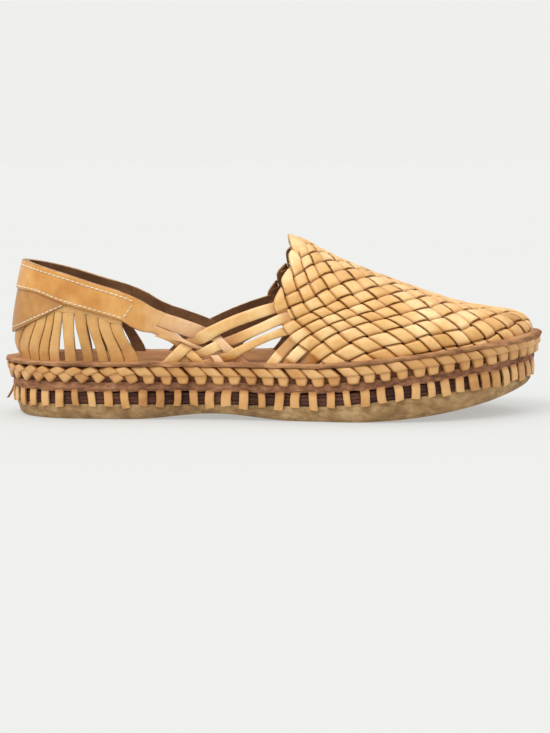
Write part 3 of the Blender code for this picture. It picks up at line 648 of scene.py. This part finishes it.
class Nodes:
    """Short way to wire a material."""

    def __init__(self, name):
        self.material = bpy.data.materials.new(name)
        self.material.use_nodes = True
        self.tree = self.material.node_tree
        self.shader = self.tree.nodes["Principled BSDF"]
        self.coordinates = self.make("TexCoord", "Object", {})

    def feed(self, made, inputs):
        """Give inputs their number, colour, vector or the output of another node."""
        for key, value in inputs.items():
            socket = made.inputs[key]
            if isinstance(value, (int, float)):
                socket.default_value = value
            elif isinstance(value, tuple):
                socket.default_value = (*value, 1.0)[:len(socket.default_value)]
            else:
                self.tree.links.new(value, socket)

    def make(self, kind, output, inputs, **settings):
        """One output of a new node."""
        made = self.tree.nodes.new("ShaderNode" + kind)
        for key, value in settings.items():
            setattr(made, key, value)
        self.feed(made, inputs)
        return made.outputs[output]

    def noise(self, scale, detail=3.0, stretch=(1.0, 1.0, 1.0), roughness=0.5, distortion=0.0):
        place = self.make("Mapping", "Vector", {"Vector": self.coordinates, "Scale": stretch})
        return self.make("TexNoise", "Fac", {"Vector": place, "Scale": scale, "Detail": detail,
                                             "Roughness": roughness, "Distortion": distortion})

    def ramp(self, source, stops):
        made = self.tree.nodes.new("ShaderNodeValToRGB")
        elements = made.color_ramp.elements
        while len(elements) < len(stops):
            elements.new(0.5)
        for element, (place, colour) in zip(elements, stops):
            element.position = place
            element.color = (*colour, 1.0)
        self.feed(made, {"Fac": source})
        return made.outputs["Color"]

    def attribute(self, name):
        return self.make("Attribute", "Fac", {}, attribute_name=name)

    def math(self, operation, *values, clamp=False):
        return self.make("Math", 0, dict(enumerate(values)), operation=operation, use_clamp=clamp)

    def swing(self, value, middle, reach, clamp=False):
        """Difference of two values, stretched."""
        return self.math("MULTIPLY", self.math("SUBTRACT", value, middle), reach, clamp=clamp)

    def both(self, a, share, b, rest):
        """Two values added, each times its own share."""
        return self.math("ADD", self.math("MULTIPLY", a, share), self.math("MULTIPLY", b, rest))

    def blend(self, share, a, b, mode="MIX"):
        return self.make("Mix", 2, {0: share, 6: a, 7: b}, data_type="RGBA", blend_type=mode)

    def forward(self, start, end, cloud):
        """Share that grows from 0 to 1 between two places along the shoe, with a cloudy border."""
        along = self.make("SeparateXYZ", 0, {0: self.coordinates})
        place = self.math("ADD", along, self.swing(cloud, 0.5, 0.03))
        return self.math("DIVIDE", self.math("SUBTRACT", place, start), end - start, clamp=True)

    def bump(self, height, strength, distance, before=None):
        inputs = {"Strength": strength, "Distance": distance, "Height": height}
        if before:
            inputs["Normal"] = before
        return self.make("Bump", "Normal", inputs)

    def finish(self, colour, roughness, normal, specular=0.45, coat=0.0):
        self.feed(self.shader, {"Base Color": colour, "Roughness": roughness, "Normal": normal,
                                "Specular IOR Level": specular, "Coat Weight": coat,
                                "Coat Roughness": 0.35})
        return self.material


def rgb(red, green, blue):
    """Linear colour from the values of a picture."""
    return tuple(((c / 255 + 0.055) / 1.055) ** 2.4 if c > 10 else c / 3295 for c in (red, green, blue))


# Painted shade: tint that darkens leather where it goes under another strip
PAINTED_SHADE_TINT = (0.62, 0.42, 0.27)


def leather(name, dark, middle, pale, edge, rough=0.42, coat=0.12, worn_pale=None):
    """Vegetable tanned leather: tone of each strip, cloudy colour, darker cut edges, painted shade where the
    shade attribute is low, fine grain.
    """
    n = Nodes(name)
    cloud = n.noise(85.0, 4.0, roughness=0.6)
    broad = n.noise(24.0, distortion=0.6)
    fine = n.noise(900.0, roughness=0.6)
    fibre = n.noise(260.0, 4.0, stretch=(1.0, 1.0, 3.0))
    mix = n.both(cloud, 0.55, broad, 0.45)
    mix = n.math("ADD", mix, n.swing(n.attribute("tone"), 0.5, 0.34))
    colour = n.ramp(mix, [(0.26, dark), (0.47, middle), (0.72, pale)])
    if worn_pale:
        worn = n.ramp(mix, [(0.3, worn_pale[0]), (0.6, worn_pale[1])])
        colour = n.blend(n.forward(-0.070, -0.050, broad), colour, worn)
    border = n.math("ADD", n.math("ABSOLUTE", n.attribute("across")), n.swing(fibre, 0.5, 0.18))
    cut = n.swing(border, 0.92, 10.0, clamp=True)
    colour = n.blend(n.math("MULTIPLY", cut, 0.85), colour, edge)
    # Painted shade: colour darkened towards the tint as the shade attribute falls, where strips go under
    # others and in creases
    painted_shade = n.swing(1.0, n.attribute("shade"), 0.85, clamp=True)
    colour = n.blend(painted_shade, colour, n.blend(1.0, colour, PAINTED_SHADE_TINT, "MULTIPLY"))
    speck = n.swing(n.noise(420.0, 2.0), 0.62, 6.0, clamp=True)
    colour = n.blend(n.math("MULTIPLY", speck, 0.22), colour, edge)
    shine = n.math("ADD", n.math("MULTIPLY", cloud, 0.22), rough - 0.11)
    normal = n.bump(n.both(fine, 0.5, fibre, 0.5), 0.10, 0.0006)
    return n.finish(colour, shine, n.bump(cloud, 0.14, 0.002, normal), coat=coat)


def flesh(name, dark, pale):
    """Rough inner side of the leather."""
    n = Nodes(name)
    nap = n.noise(600.0, 4.0, roughness=0.7)
    colour = n.ramp(n.both(nap, 0.4, n.noise(60.0), 0.6), [(0.32, dark), (0.68, pale)])
    rough = n.math("ADD", n.math("MULTIPLY", nap, 0.2), 0.72)
    return n.finish(colour, rough, n.bump(nap, 0.35, 0.001), specular=0.2)


def rough_edge(name, dark, middle, pale, stretch, scale, strength, rough=0.8):
    """Cut or layered edge with streaks along the sole."""
    n = Nodes(name)
    streak = n.noise(scale, 5.0, stretch=(1.0, 1.0, stretch), roughness=0.65)
    fine = n.noise(700.0)
    mix = n.both(streak, 0.6, n.noise(55.0, 4.0), 0.4)
    colour = n.ramp(mix, [(0.34, dark), (0.5, middle), (0.66, pale)])
    shine = n.math("ADD", n.math("MULTIPLY", fine, 0.15), rough - 0.08)
    normal = n.bump(n.both(streak, 0.7, fine, 0.3), strength, 0.0015)
    return n.finish(colour, shine, normal, specular=0.3)


HONEY = leather("honey_leather", rgb(188, 134, 66), rgb(218, 168, 100), rgb(242, 208, 152), rgb(84, 48, 20))
BAND_LEATHER = leather("band_leather", rgb(176, 108, 38), rgb(204, 142, 66), rgb(226, 176, 104),
                       rgb(110, 64, 26), rough=0.36, coat=0.22,
                       worn_pale=(rgb(206, 152, 102), rgb(234, 194, 148)))
HEEL_LEATHER = leather("heel_leather", rgb(176, 122, 62), rgb(206, 154, 88), rgb(228, 184, 122),
                       rgb(112, 66, 30), rough=0.48, coat=0.06)
THONG_LEATHER = leather("thong_leather", rgb(168, 112, 56), rgb(206, 150, 86), rgb(228, 182, 122),
                        rgb(100, 58, 28), rough=0.46)
# Flesh side of the leather, mostly facing the inside of the shoe: its dark brown is partly the flesh side's
# own colour and partly painted shade of the inside
FLESH_AND_INNER_SHADE = flesh("flesh_side", rgb(78, 50, 30), rgb(134, 96, 66))
INSOLE = flesh("insole_leather", rgb(138, 90, 52), rgb(180, 126, 78))
RIM_EDGE = rough_edge("rim_edge", rgb(106, 68, 40), rgb(162, 114, 75), rgb(197, 149, 104), 5.0, 90.0, 0.6)
WELT_EDGE = rough_edge("welt_edge", rgb(84, 50, 32), rgb(146, 98, 68), rgb(186, 136, 98), 2.0, 210.0, 1.0)
MIDSOLE_EDGE = rough_edge("midsole_edge", rgb(44, 24, 18), rgb(84, 50, 38), rgb(124, 82, 62), 9.0, 60.0, 0.5)
CREPE = rough_edge("crepe_rubber", rgb(120, 90, 56), rgb(164, 128, 84), rgb(202, 168, 122), 1.8, 150.0,
                   0.6, rough=0.62)
THREAD = flesh("stitch_thread", rgb(206, 190, 160), rgb(244, 236, 216))


# Sole

def loft(name, sections, count, materials, node, wobble, seed, top_slot=0):
    """Layer of the sole: rings of (inset, height, roughness of the ring), closed below and above."""
    pile = Pile()
    at = np.arange(count) / count * CURVE_LENGTH
    for inset, level, rough in sections:
        points, inward = edge_at(at, inset)
        for (x, y), (aside, ahead), along in zip(points, inward, at):
            z = level(x)
            place = Vector((x * 90 + seed, y * 90, z * 240))
            push = wobble * rough * noise.noise(place) + 0.5 * wobble * rough * noise.noise(place * 3.1)
            rise = 0.6 * wobble * rough * noise.noise(place * 1.7 + Vector((9, 5, 2)))
            pile.put(np.array([x - aside * push, y - ahead * push, z + rise]), 0.5, along)
    pile.rings(0, len(sections), count)
    half = count // 2
    for start, turned in ((0, True), ((len(sections) - 1) * count, False)):
        for k in range(1, half):
            near, far = start + k, start + count - k
            faces = [(start, near, far) if k == 1 else (near - 1, near, far, far + 1)]
            if k + 1 == half:
                faces.append((near, near + 1, far))
            for face in faces:
                pile.face(face[::-1] if turned else face, 0 if turned else top_slot)
    finish_piece(name, pile, materials, node, smooth=40)


def layer_height(height, droop=0.0):
    """Height of a ring of the sole, which rises towards the toe and may droop at its tip."""
    return lambda x: height + lift(x) - droop * ease(0.245, 0.286, x)


def layer_rings(base, rows):
    """Rings for a layer of the sole, from a table of heights above a base."""
    return [(inset, layer_height(base + up, *droop), rough) for inset, up, rough, *droop in rows]


def build_sole():
    """Crepe outsole, dark midsole, rough welt and leather footbed."""
    def share(part):
        return lambda x: tread(x) + part * (OUTSOLE_TOP + lift(x) - tread(x))

    outsole = [(inset, share(part), rough) for inset, part, rough in OUTSOLE_RINGS]
    loft("outsole_crepe", outsole, 720, [CREPE], "outsole", 0.0007, 3.0)
    midsole = layer_rings(MIDSOLE_LOW, MIDSOLE_RINGS)
    midsole += layer_rings(MIDSOLE_TOP, [(0.0062, 0.0, 0.6), (0.0068, 0.0, 0.2)])
    loft("midsole_layers", midsole, 900, [MIDSOLE_EDGE], "midsole", 0.0006, 11.0)
    welt = layer_rings(WELT_LOW, WELT_RINGS)
    welt += layer_rings(WELT_TOP, [(0.0058, -0.004, 0.4), (0.0058, 0.0, 0.2)])
    loft("welt_layer", welt, 1100, [WELT_EDGE], "welt", 0.0006, 23.0)
    footbed = layer_rings(FOOTBED_LOW, FOOTBED_RINGS) + layer_rings(RIM, RIM_RINGS)
    loft("footbed_leather", footbed, 1000, [RIM_EDGE, INSOLE], "footbed", 0.0008, 31.0, top_slot=1)


def pillow(pile, corners, at, lobe, tone, slant):
    """Puffed lobe of the braid over four corners given along and up the edge of the sole."""
    inset, thick, rounding = lobe
    steps = 8
    grid = []
    for i in range(steps + 1):
        for j in range(steps + 1):
            a, b = 2 * i / steps - 1, 2 * j / steps - 1
            u = a * math.sqrt(1 - rounding * b * b / 2)
            v = b * math.sqrt(1 - rounding * a * a / 2)
            s, t = (u + 1) / 2, (v + 1) / 2
            (x0, z0), (x1, z1), (x2, z2), (x3, z3) = corners
            along = (x0 * (1 - s) + x1 * s) * (1 - t) + (x3 * (1 - s) + x2 * s) * t
            up = (z0 * (1 - s) + z1 * s) * (1 - t) + (z3 * (1 - s) + z2 * s) * t
            puff = (1 - abs(a) ** 5.0) ** 0.5 * (1 - abs(b) ** 5.0) ** 0.5
            grid.append((along / 1000, up / 1000, puff, slant * a, max(abs(a), abs(b))))
    along = np.array([g[0] for g in grid]) + at
    front, _ = edge_at(along, np.array([inset - thick * g[2] - g[3] for g in grid]))
    back, _ = edge_at(along, inset + 0.0012)
    start = len(pile.points)
    for points in (front, back):
        for (x, y), (ahead, up, puff, _, border) in zip(points, grid):
            # Painted shade: each lobe's colour darkens towards its edges, where it tucks under its
            # neighbours
            pile.put(np.array([x, y, up + lift(x)]), tone, ahead, border, 0.1 + 0.9 * puff)
    row = steps + 1
    offset = row * row
    for i in range(steps):
        for j in range(steps):
            a = start + i * row + j
            b = a + offset
            pile.face((a, a + row, a + row + 1, a + 1))
            pile.face((b, b + 1, b + row + 1, b + row))
    edge = [i * row for i in range(row)] + [steps * row + j for j in range(1, row)]
    edge += [i * row + steps for i in range(steps - 1, -1, -1)] + list(range(steps - 1, 0, -1))
    for a, b in zip(edge, edge[1:] + edge[:1]):
        pile.face((start + a, start + a + offset, start + b + offset, start + b))


def build_braid():
    """Thong plaited around the edge: a slanting row over a row of short tabs."""
    pile = Pile()
    pitch = CURVE_LENGTH / BRAID_COUNT
    for k in range(BRAID_COUNT):
        at = k * pitch + random.uniform(-0.0005, 0.0005)
        share = ease(0.045, 0.075, edge_x(at))
        stretch = 1 + random.uniform(-0.05, 0.05)

        def shape(leaf, fold, shrink):
            corners = []
            for (lx, lz), (fx, fz) in zip(leaf, fold):
                px = (lx * (1 - share) + fx * share) * stretch * pitch / LEAF_PITCH
                pz = lz * (1 - share) + fz * share
                corners.append((px + random.uniform(-0.5, 0.5), pz + random.uniform(-0.35, 0.35)))
            middle = np.mean(np.array(corners), axis=0)
            return [tuple(middle + (np.array(c) - middle) * shrink) for c in corners]

        lower = shape(LOWER_LEAF, LOWER_FOLD, 1.0)
        pillow(pile, lower, at, LOWER_LOBE, random.uniform(0.2, 0.7), 0.0004)
        upper = shape(UPPER_LEAF, UPPER_FOLD, 1.02)
        pillow(pile, upper, at, UPPER_LOBE, random.uniform(0.4, 0.9), 0.0008)
    finish_piece("braided_thong", pile, [THONG_LEATHER], "edge_braid", smooth=70)


def edge_row(centre, across, tilt, level, inset, thickness, shade):
    """Row of a thong that hangs at the edge of the sole."""
    points, inward = edge_at(centre - across, inset)
    places = np.array([[x, y, level + t + lift(x)] for (x, y), t in zip(points, tilt)])
    outs = np.array([[-aside, -ahead, 0.0] for aside, ahead in inward])
    return places, outs, 0.0, thickness, shade


def rib_rows(at, toe):
    """Rows of one rib of thong that hangs over the midsole."""
    width = RIB_WIDTH + 0.0010 * toe + random.uniform(-0.0008, 0.0009)
    forward = 1 if at < CURVE_LENGTH / 2 else -1
    lean = (0.0004 + 0.0021 * toe) * forward + random.uniform(-0.0012, 0.0012)
    low = 0.0070 + random.uniform(-0.0007, 0.0010)
    skew = random.uniform(-0.0006, 0.0006)
    bow = random.uniform(-0.0005, 0.0005)
    rows = []
    for i, (level, inset) in enumerate(zip(RIB_LEVELS + [low], RIB_INSETS)):
        share = i / len(RIB_LEVELS)
        centre = at + lean * (share - 0.4) + bow * math.sin(math.pi * share)
        # Painted shade: the top of each rib darkens where it comes out from under the welt
        shade = ease(0.0162, 0.0136, level) if i < 3 else 1.0
        rows.append(edge_row(centre, THONG_ACROSS * width / 2, THONG_ACROSS * skew * share, level, inset,
                             RIB_THICKNESS, shade))
    return rows


def build_lashing():
    """Ribs of thong that hang over the midsole from under the welt, and a loose tail at the heel."""
    pile = Pile()
    at = 0.004
    while at < CURVE_LENGTH - 0.004:
        toe = ease(0.20, 0.27, edge_x(at))
        pile.ribbon(rib_rows(at, toe), THONG, FRONT, random.uniform(0.2, 0.8))
        at += RIB_PITCH - 0.0011 * toe + random.uniform(-0.0006, 0.0006)
    straight = np.zeros(len(THONG))
    tail = [edge_row(CURVE_LENGTH - 0.002, THONG_ACROSS * TAIL_HALF, straight, level, inset,
                     TAIL_THICKNESS, 0.4) for level, inset in TAIL]
    pile.ribbon(tail, THONG, FRONT, 0.2)
    finish_piece("sole_ribs", pile, [THONG_LEATHER, FLESH_AND_INNER_SHADE], "sole_lashing")


# Upper

def lay(section, at):
    """Places and outward directions across a section, from the point at each share across it."""
    found = [at(across) for across, _ in section]
    return np.array([point for point, _ in found]), np.array([out for _, out in found])


def strip_rows(rising_strip, index, places, width, base):
    """Rows of a woven strip at places along it, over or under the strips that it crosses."""
    fixed = index + 0.5 + 0.5 * width * THONG_ACROSS[None, :]
    free = np.asarray(places)[:, None] + 0 * THONG_ACROSS[None, :]
    alpha, beta = (free, fixed) if rising_strip else (fixed, free)
    points, outs = weave_points((alpha + beta) / 2, beta - alpha)
    points = points.reshape(len(places), len(THONG), 3)
    outs = outs.reshape(len(places), len(THONG), 3)
    rows = []
    for i, place in enumerate(places):
        cell = math.floor(place)
        over = ((index - cell) % 2 == 0) == rising_strip
        wave = abs(math.sin(math.pi * (place - cell))) ** 0.4
        level = wave if over else -wave
        # Painted shade: the strip's colour darkens as it dips under the strips that it crosses
        rows.append((points[i], outs[i], base + WEAVE_LIFT * level, STRIP_THICKNESS, ease(0.0, 0.9, level)))
    return rows


def inside_weave(point, column, row, rising_strip):
    """Whether a place of a strip lies in front of the throat and above the footbed."""
    if point[2] < RIM + lift(point[0]) - STRIP_SINK:
        return False
    if point[2] > THROAT_LINE[0][0] / 1000:
        shift = 0.0 if row > 0 else FAR_SHIFT * (THROAT_TOP - point[2] * 1000)
        return point[0] * 1000 > table(THROAT_LINE, point[2] * 1000) - shift
    if (row > 0) != rising_strip:
        return column >= OPEN_START
    return column >= (0.0 if column + abs(row) / 2 < 6 else SIDE_START)


def strip_stretches(rising_strip, index, places):
    """Stretches of a woven strip that lie inside the weave."""
    middle = np.full(len(places), index + 0.5)
    alpha, beta = (places, middle) if rising_strip else (middle, places)
    columns, rows = (alpha + beta) / 2, beta - alpha
    keep = (columns > WEAVE_REAR) & (columns < WEAVE_TIP) & (np.abs(rows) < WEAVE_LOWEST)
    if not keep.any():
        return []
    points, _ = weave_points(columns[keep], rows[keep])
    good = np.zeros(len(places), bool)
    good[keep] = [inside_weave(*place, rising_strip) for place in zip(points, columns[keep], rows[keep])]
    bounds = np.flatnonzero(np.diff(np.concatenate([[0], good, [0]])))
    return [(start, end) for start, end in zip(bounds[::2], bounds[1::2]) if end - start >= FEWEST_STEPS]


def build_weave():
    """Woven front: strips that rise and strips that fall, over and under each other."""
    places = np.arange(-8.0, 20.0, WEAVE_STEP)
    for rising_strip, name in ((True, "woven_strips_rising"), (False, "woven_strips_falling")):
        pile = Pile()
        for index in range(-6, 17):
            for start, end in strip_stretches(rising_strip, index, places):
                width = STRIP_SHARE + random.uniform(-0.03, 0.03)
                base = STRAP_BASE + random.uniform(-0.00008, 0.00008)
                rows = strip_rows(rising_strip, index, places[start:end], width, base)
                pile.ribbon(rows, THONG, FRONT, random.uniform(0.25, 0.85))
        finish_piece(name, pile, [HONEY, FLESH_AND_INNER_SHADE], "upper", stands_in=rising_strip, smooth=60)


def smooth_rows(rows, count):
    """Even set of rows along a strap, from the few that its edges are given by."""
    keys = [(i / (len(rows) - 1), *row) for i, row in enumerate(rows)]
    return [[table(keys, k / (count - 1), column) for column in range(1, 5)] for k in range(count)]


def strap_rows(side, rows, count, levels, section):
    """Rows of a strap on the side of the last between its two edges."""
    made = []
    for top_x, top_z, low_x, low_z in smooth_rows(rows, count):
        def at(across):
            share = (1 - across) / 2
            x = (top_x * share + low_x * (1 - share)) * LENGTH
            return touch(side, x, side_height(top_z * share + low_z * (1 - share)))

        level = table(levels, (top_x + low_x) / 2) if levels else 0.0
        # Painted shade: the strap's colour darkens where it dips under other straps
        shade = ease(-1.0, 0.4, level)
        made.append((*lay(section, at), STRAP_BASE + STRAP_LIFT * level, STRAP_THICKNESS, shade))
    return made


def lobe_rows(side, shift, lobe):
    """Rows of a strip turned over the edge of the throat, thin at both ends."""
    count = 22
    rows = []
    for k, (rear_x, rear_z, front_x, front_z) in enumerate(smooth_rows(lobe, count)):
        def at(across):
            ahead = (across + 1) / 2
            z = rear_z + (front_z - rear_z) * ahead
            x = rear_x + (front_x - rear_x) * ahead - shift * (THROAT_TOP - z)
            return touch(side, x / 1000, z / 1000)

        full = math.sin(math.pi * k / (count - 1)) ** 0.5
        # Painted shade: the lobe darkens towards its thin ends, where it turns under
        rows.append((*lay(ROLL, at), -0.0030 + 0.0010 * full, 0.0014 + 0.0021 * full, 0.2 + 0.8 * full))
    return rows


def saddle_rows():
    """Rows of the strip that runs over the ridge at the top of the throat."""
    rows = []
    for k in range(17):
        aside = 0.0075 * (k / 8 - 1)
        out = np.array((0.0, aside * 40, 1.0)) / math.hypot(aside * 40, 1.0)

        def at(across):
            x = 0.1534 + 0.0055 * (across + 1) / 2
            return drop_on(x, ridge_side(x) + aside), out

        # Painted shade: a slight darkening of the whole saddle strip
        rows.append((*lay(ROLL, at), -0.0033, 0.0034, 0.9))
    return rows


def build_throat():
    """Strips turned over the edge of the throat: rounded lobes that lean on each other."""
    pile = Pile()
    for side, shift in ((-1, 0.0), (1, FAR_SHIFT)):
        for lobe in THROAT_LOBES:
            pile.ribbon(lobe_rows(side, shift, lobe), ROLL, ROLL_FRONT, random.uniform(0.55, 0.85))
    pile.ribbon(saddle_rows(), ROLL, ROLL_FRONT, 0.7)
    finish_piece("throat_lobes", pile, [HONEY, FLESH_AND_INNER_SHADE], "upper", stands_in=False)


def build_straps():
    """Crossing straps between the heel and the woven front, on both sides."""
    pile = Pile()
    for side in (-1, 1):
        for straps, all_levels, count, palest in (
                (RISING_STRAPS, RISING_LEVELS, 44, 0.8), (FALLING_STRAPS[2:], FALLING_LEVELS[2:], 40, 0.9)):
            for rows, levels in zip(straps, all_levels):
                made = strap_rows(side, rows, count, levels, THONG)
                pile.ribbon(made, THONG, FRONT, random.uniform(0.4, palest))
    finish_piece("side_straps", pile, [HONEY, FLESH_AND_INNER_SHADE], "upper", stands_in=False)


def along_at(x, level, mirror):
    """Distance from the heel along one side's edge whose section passes over a given x at a height."""
    low, high = 0.0, 0.12
    for _ in range(22):
        middle = (low + high) / 2
        point, _ = climb(mirror * middle, lambda _x: level)
        if point.x < x:
            low = middle
        else:
            high = middle
    return (low + high) / 2


def heel_strip_rows(mirror, k):
    """Rows of one strip of the slit heel, from the footbed up to the leather above the slits."""
    scale, back = FAR_STRIPS[k] if mirror < 0 else (1.0, 0.0)
    feet, heads = HEEL_STRIPS[k]
    moved = [scale * x - back for x in feet + heads]
    top = side_height(table(SLIT_TOP, (moved[2] + moved[3]) / 2000 / LENGTH))
    ends = [along_at(x / 1000, z, mirror) for x, z in zip(moved, (RIM + 0.001, RIM + 0.001, top, top))]
    twist = 0.00045 * (-1) ** k
    slim = 0.02 if k < 4 else 0.10
    rows = []
    for step in range(19):
        share = step / 18
        z = RIM - 0.0015 + (top + 0.004 - RIM + 0.0015) * share
        bend = ease(0.0, BEND_END, share)
        a = ends[0] * (1 - bend) + ends[2] * bend
        b = ends[1] * (1 - bend) + ends[3] * bend
        half = (b - a) / 2 * (1 - slim * math.sin(math.pi * min(share / BEND_END, 1.0)))

        def at(across):
            point, out = climb(mirror * (a + b) / 2 - across * half, lambda _x: z)
            turn = twist * across * math.sin(math.pi * share)
            return np.array(point) + np.array(out) * turn, np.array(out)

        rows.append((*lay(THONG, at), HEEL_BASE, HEEL_THICKNESS, 1.0))
    return rows


def panel_rows(mirror, section):
    """Rows of the plain leather between the slits and the collar, on one side."""
    rows = []
    for step in range(49):
        def at(across):
            share = (across + 1) / 2

            def level(x):
                low = side_height(table(SLIT_TOP, x / LENGTH)) + 0.0004
                high = side_height(table(COLLAR, x / LENGTH)) + 0.0003
                return low + (high - low) * share

            return climb(mirror * (SEAM_REACH * step / 48), level)

        thin = ease(48, 40, step)
        rows.append((*lay(section, at), -0.0022 - 0.0015 * thin, 0.0004 + 0.0015 * thin, 1.0))
    return rows


def build_heel():
    """Back of the upper: slit strips that twist a little, and the plain leather above them."""
    pile = Pile()
    section, front = wide_section(10)
    for mirror in (1, -1):
        for k in range(len(HEEL_STRIPS)):
            pile.ribbon(heel_strip_rows(mirror, k), THONG, FRONT, random.uniform(0.2, 0.75))
        pile.ribbon(panel_rows(mirror, section), section, front, 0.45)
    finish_piece("heel_strips", pile, [HEEL_LEATHER, FLESH_AND_INNER_SHADE], "upper", stands_in=False)


def between(low, high, up):
    """Line on the side of the last between two others, as a height over x."""
    return lambda x: side_height(table(low, x / LENGTH) * (1 - up) + table(high, x / LENGTH) * up)


def overlay_rows(low, high, reach, leans, section, base, thickness, count):
    """Rows of a piece laid round the back of the heel between two lines."""
    rows = []
    for i in range(count + 1):
        share = 2 * i / count - 1

        def at(across):
            up = (across + 1) / 2
            return climb(-share * (reach + leans * up), between(low, high, up))

        rows.append((*lay(section, at), base, thickness, 1.0))
    return rows


def build_collar():
    """Collar band with the straps that it runs out into."""
    band = Pile()
    section, front = wide_section(14)
    rows = overlay_rows(BAND_LOW, COLLAR, BAND_REACH, BAND_LEAN, section, STRAP_BASE, BAND_THICKNESS, 128)
    turned = [(-across, height) for across, height in section]
    outer, inner = (strap_rows(side, COLLAR_STRAP, 26, [], turned) for side in (-1, 1))
    band.ribbon(outer[::-1] + rows + inner, section, front, 0.5)
    for side in (-1, 1):
        for strap, levels in zip(FALLING_STRAPS[:2], FALLING_LEVELS[:2]):
            band.ribbon(strap_rows(side, strap, 40, levels, THONG), THONG, FRONT, 0.5)
    finish_piece("collar_band", band, [BAND_LEATHER, FLESH_AND_INNER_SHADE], "heel_band")


def build_patch():
    """Patch under the collar band at the back of the heel."""
    patch = Pile()
    section, front = wide_section(8)
    rows = overlay_rows(PATCH_LOW, PATCH_TOP, PATCH_REACH, 0.0, section, PATCH_BASE, PATCH_THICKNESS, 80)
    patch.ribbon(rows, section, front, -0.1)
    finish_piece("heel_patch", patch, [HEEL_LEATHER, FLESH_AND_INNER_SHADE], "counter_patch")


def stitch(pile, a, b, out, radius):
    """One stitch: a short rounded bead of thread between two holes."""
    along = b - a
    length = np.linalg.norm(along)
    along /= length
    side = np.cross(along, out)
    rings = [(-0.02, 0.25, -0.5), (0.06, 0.75, 0.0), (0.25, 1.0, 0.5), (0.5, 1.05, 0.65),
             (0.75, 1.0, 0.5), (0.94, 0.75, 0.0), (1.02, 0.25, -0.5)]
    count = 8
    start = len(pile.points)
    tone = random.uniform(0.3, 0.7)
    for place, size, rise in rings:
        middle = a + along * length * place + out * radius * rise
        for k in range(count):
            turn = 2 * math.pi * k / count
            pile.put(middle + radius * size * (side * math.cos(turn) + out * math.sin(turn) * 0.8), tone)
    pile.tube(start, len(rings), count)


def seam(pile, found, rise, radius):
    """Stitches along points of the surface, given with their outward directions."""
    outs = np.array([np.array(out) for _, out in found])
    path = np.array([np.array(point) for point, _ in found]) + outs * rise
    steps = np.linalg.norm(np.diff(path, axis=0), axis=1)
    along = np.concatenate([[0.0], np.cumsum(steps)])

    def value(table_of, place):
        return np.array([np.interp(place, along, table_of[:, c]) for c in range(3)])

    at = 0.3 * STITCH_PITCH
    while at + STITCH_LENGTH < along[-1]:
        out = value(outs, at + STITCH_LENGTH / 2)
        stitch(pile, value(path, at), value(path, at + STITCH_LENGTH), out / np.linalg.norm(out), radius)
        at += STITCH_PITCH * random.uniform(0.96, 1.04)


def seam_round(pile, low, high, reach, leans, share, count, rise, radius):
    """Row of stitches round the heel, at a share of the way between two lines."""
    rows = overlay_rows(low, high, reach, leans, [(share, 0.0)], 0.0, 0.0, count)
    seam(pile, [(places[0], outs[0]) for places, outs, _, _, _ in rows], rise, radius)


def build_stitches():
    """Stitches around the collar band and along the patch."""
    pile = Pile()
    for up in (SEAM_LOW, SEAM_HIGH):
        seam_round(pile, BAND_LOW, COLLAR, SEAM_REACH, SEAM_LEAN, 2 * up - 1, 120, SEAM_LIFT, STITCH_RADIUS)
    for end in (-1, 1):
        ups = [SEAM_LOW + (SEAM_HIGH - SEAM_LOW) * k / 12 for k in range(13)]
        found = [climb(end * (SEAM_REACH + SEAM_LEAN * up), between(BAND_LOW, COLLAR, up)) for up in ups]
        seam(pile, found, SEAM_LIFT, STITCH_RADIUS)
    seam_round(pile, PATCH_LOW, PATCH_TOP, PATCH_SEAM, 0.0, -0.80, 90, PATCH_SEAM_LIFT, FINE_RADIUS)
    finish_piece("stitches", pile, [THREAD], "heel_band", stands_in=False, smooth=0)


# Surroundings

PALE = (0.863, 0.871, 0.855)
FLOOR_REACH = 30


def build_stage():
    """Pale flat floor."""
    mesh = bpy.data.meshes.new("floor")
    corners = [(FLOOR_REACH * x, FLOOR_REACH * y, 0) for x, y in ((-1, -1), (1, -1), (1, 1), (-1, 1))]
    mesh.from_pydata(corners, [], [(0, 1, 2, 3)])
    n = Nodes("pale_floor")
    colour = n.ramp(n.noise(1.2, 2.0), [(0.3, (0.300, 0.303, 0.298)), (0.7, (0.306, 0.309, 0.304))])
    n.feed(n.shader, {"Emission Color": PALE, "Emission Strength": 0.47})
    rough = n.math("ADD", n.math("MULTIPLY", n.noise(3.0), 0.05), 0.9)
    mesh.materials.append(n.finish(colour, rough, n.bump(n.noise(40.0), 0.01, 0.001), specular=0.0))
    placed("floor", mesh)


def light(name, place, strength, angle, colour):
    """Soft distant studio light from a place towards the shoe."""
    made = bpy.data.lights.new(name, "SUN")
    made.energy = strength
    made.angle = math.radians(angle)
    made.color = colour
    placed(name, made).rotation_euler = Vector(place).to_track_quat("Z", "Y").to_euler()


def build_view():
    """Camera at the photograph's angle, soft lights and a pale world."""
    camera = bpy.data.cameras.new("camera")
    camera.lens = 91.55
    camera.sensor_width = 36.0
    holder = placed("camera", camera)
    holder.location = (0.0, -1.0, 0.139)
    holder.rotation_euler = (math.radians(90 - 6.515), 0.0, 0.0)
    bpy.context.scene.camera = holder
    world = bpy.data.worlds.new("studio")
    world.use_nodes = True
    background = world.node_tree.nodes["Background"]
    background.inputs["Color"].default_value = (*PALE, 1.0)
    background.inputs["Strength"].default_value = 1.0
    bpy.context.scene.world = world
    light("key", (-0.45, -0.55, 1.0), 1.6, 35.0, (1.0, 0.99, 0.97))
    light("top", (0.1, 0.1, 1.0), 0.8, 60.0, (1.0, 1.0, 1.0))
    bpy.context.scene.view_settings.view_transform = "Standard"


build_sole()
build_braid()
build_lashing()
build_weave()
build_throat()
build_straps()
build_heel()
build_collar()
build_patch()
build_stitches()
build_stage()
build_view()
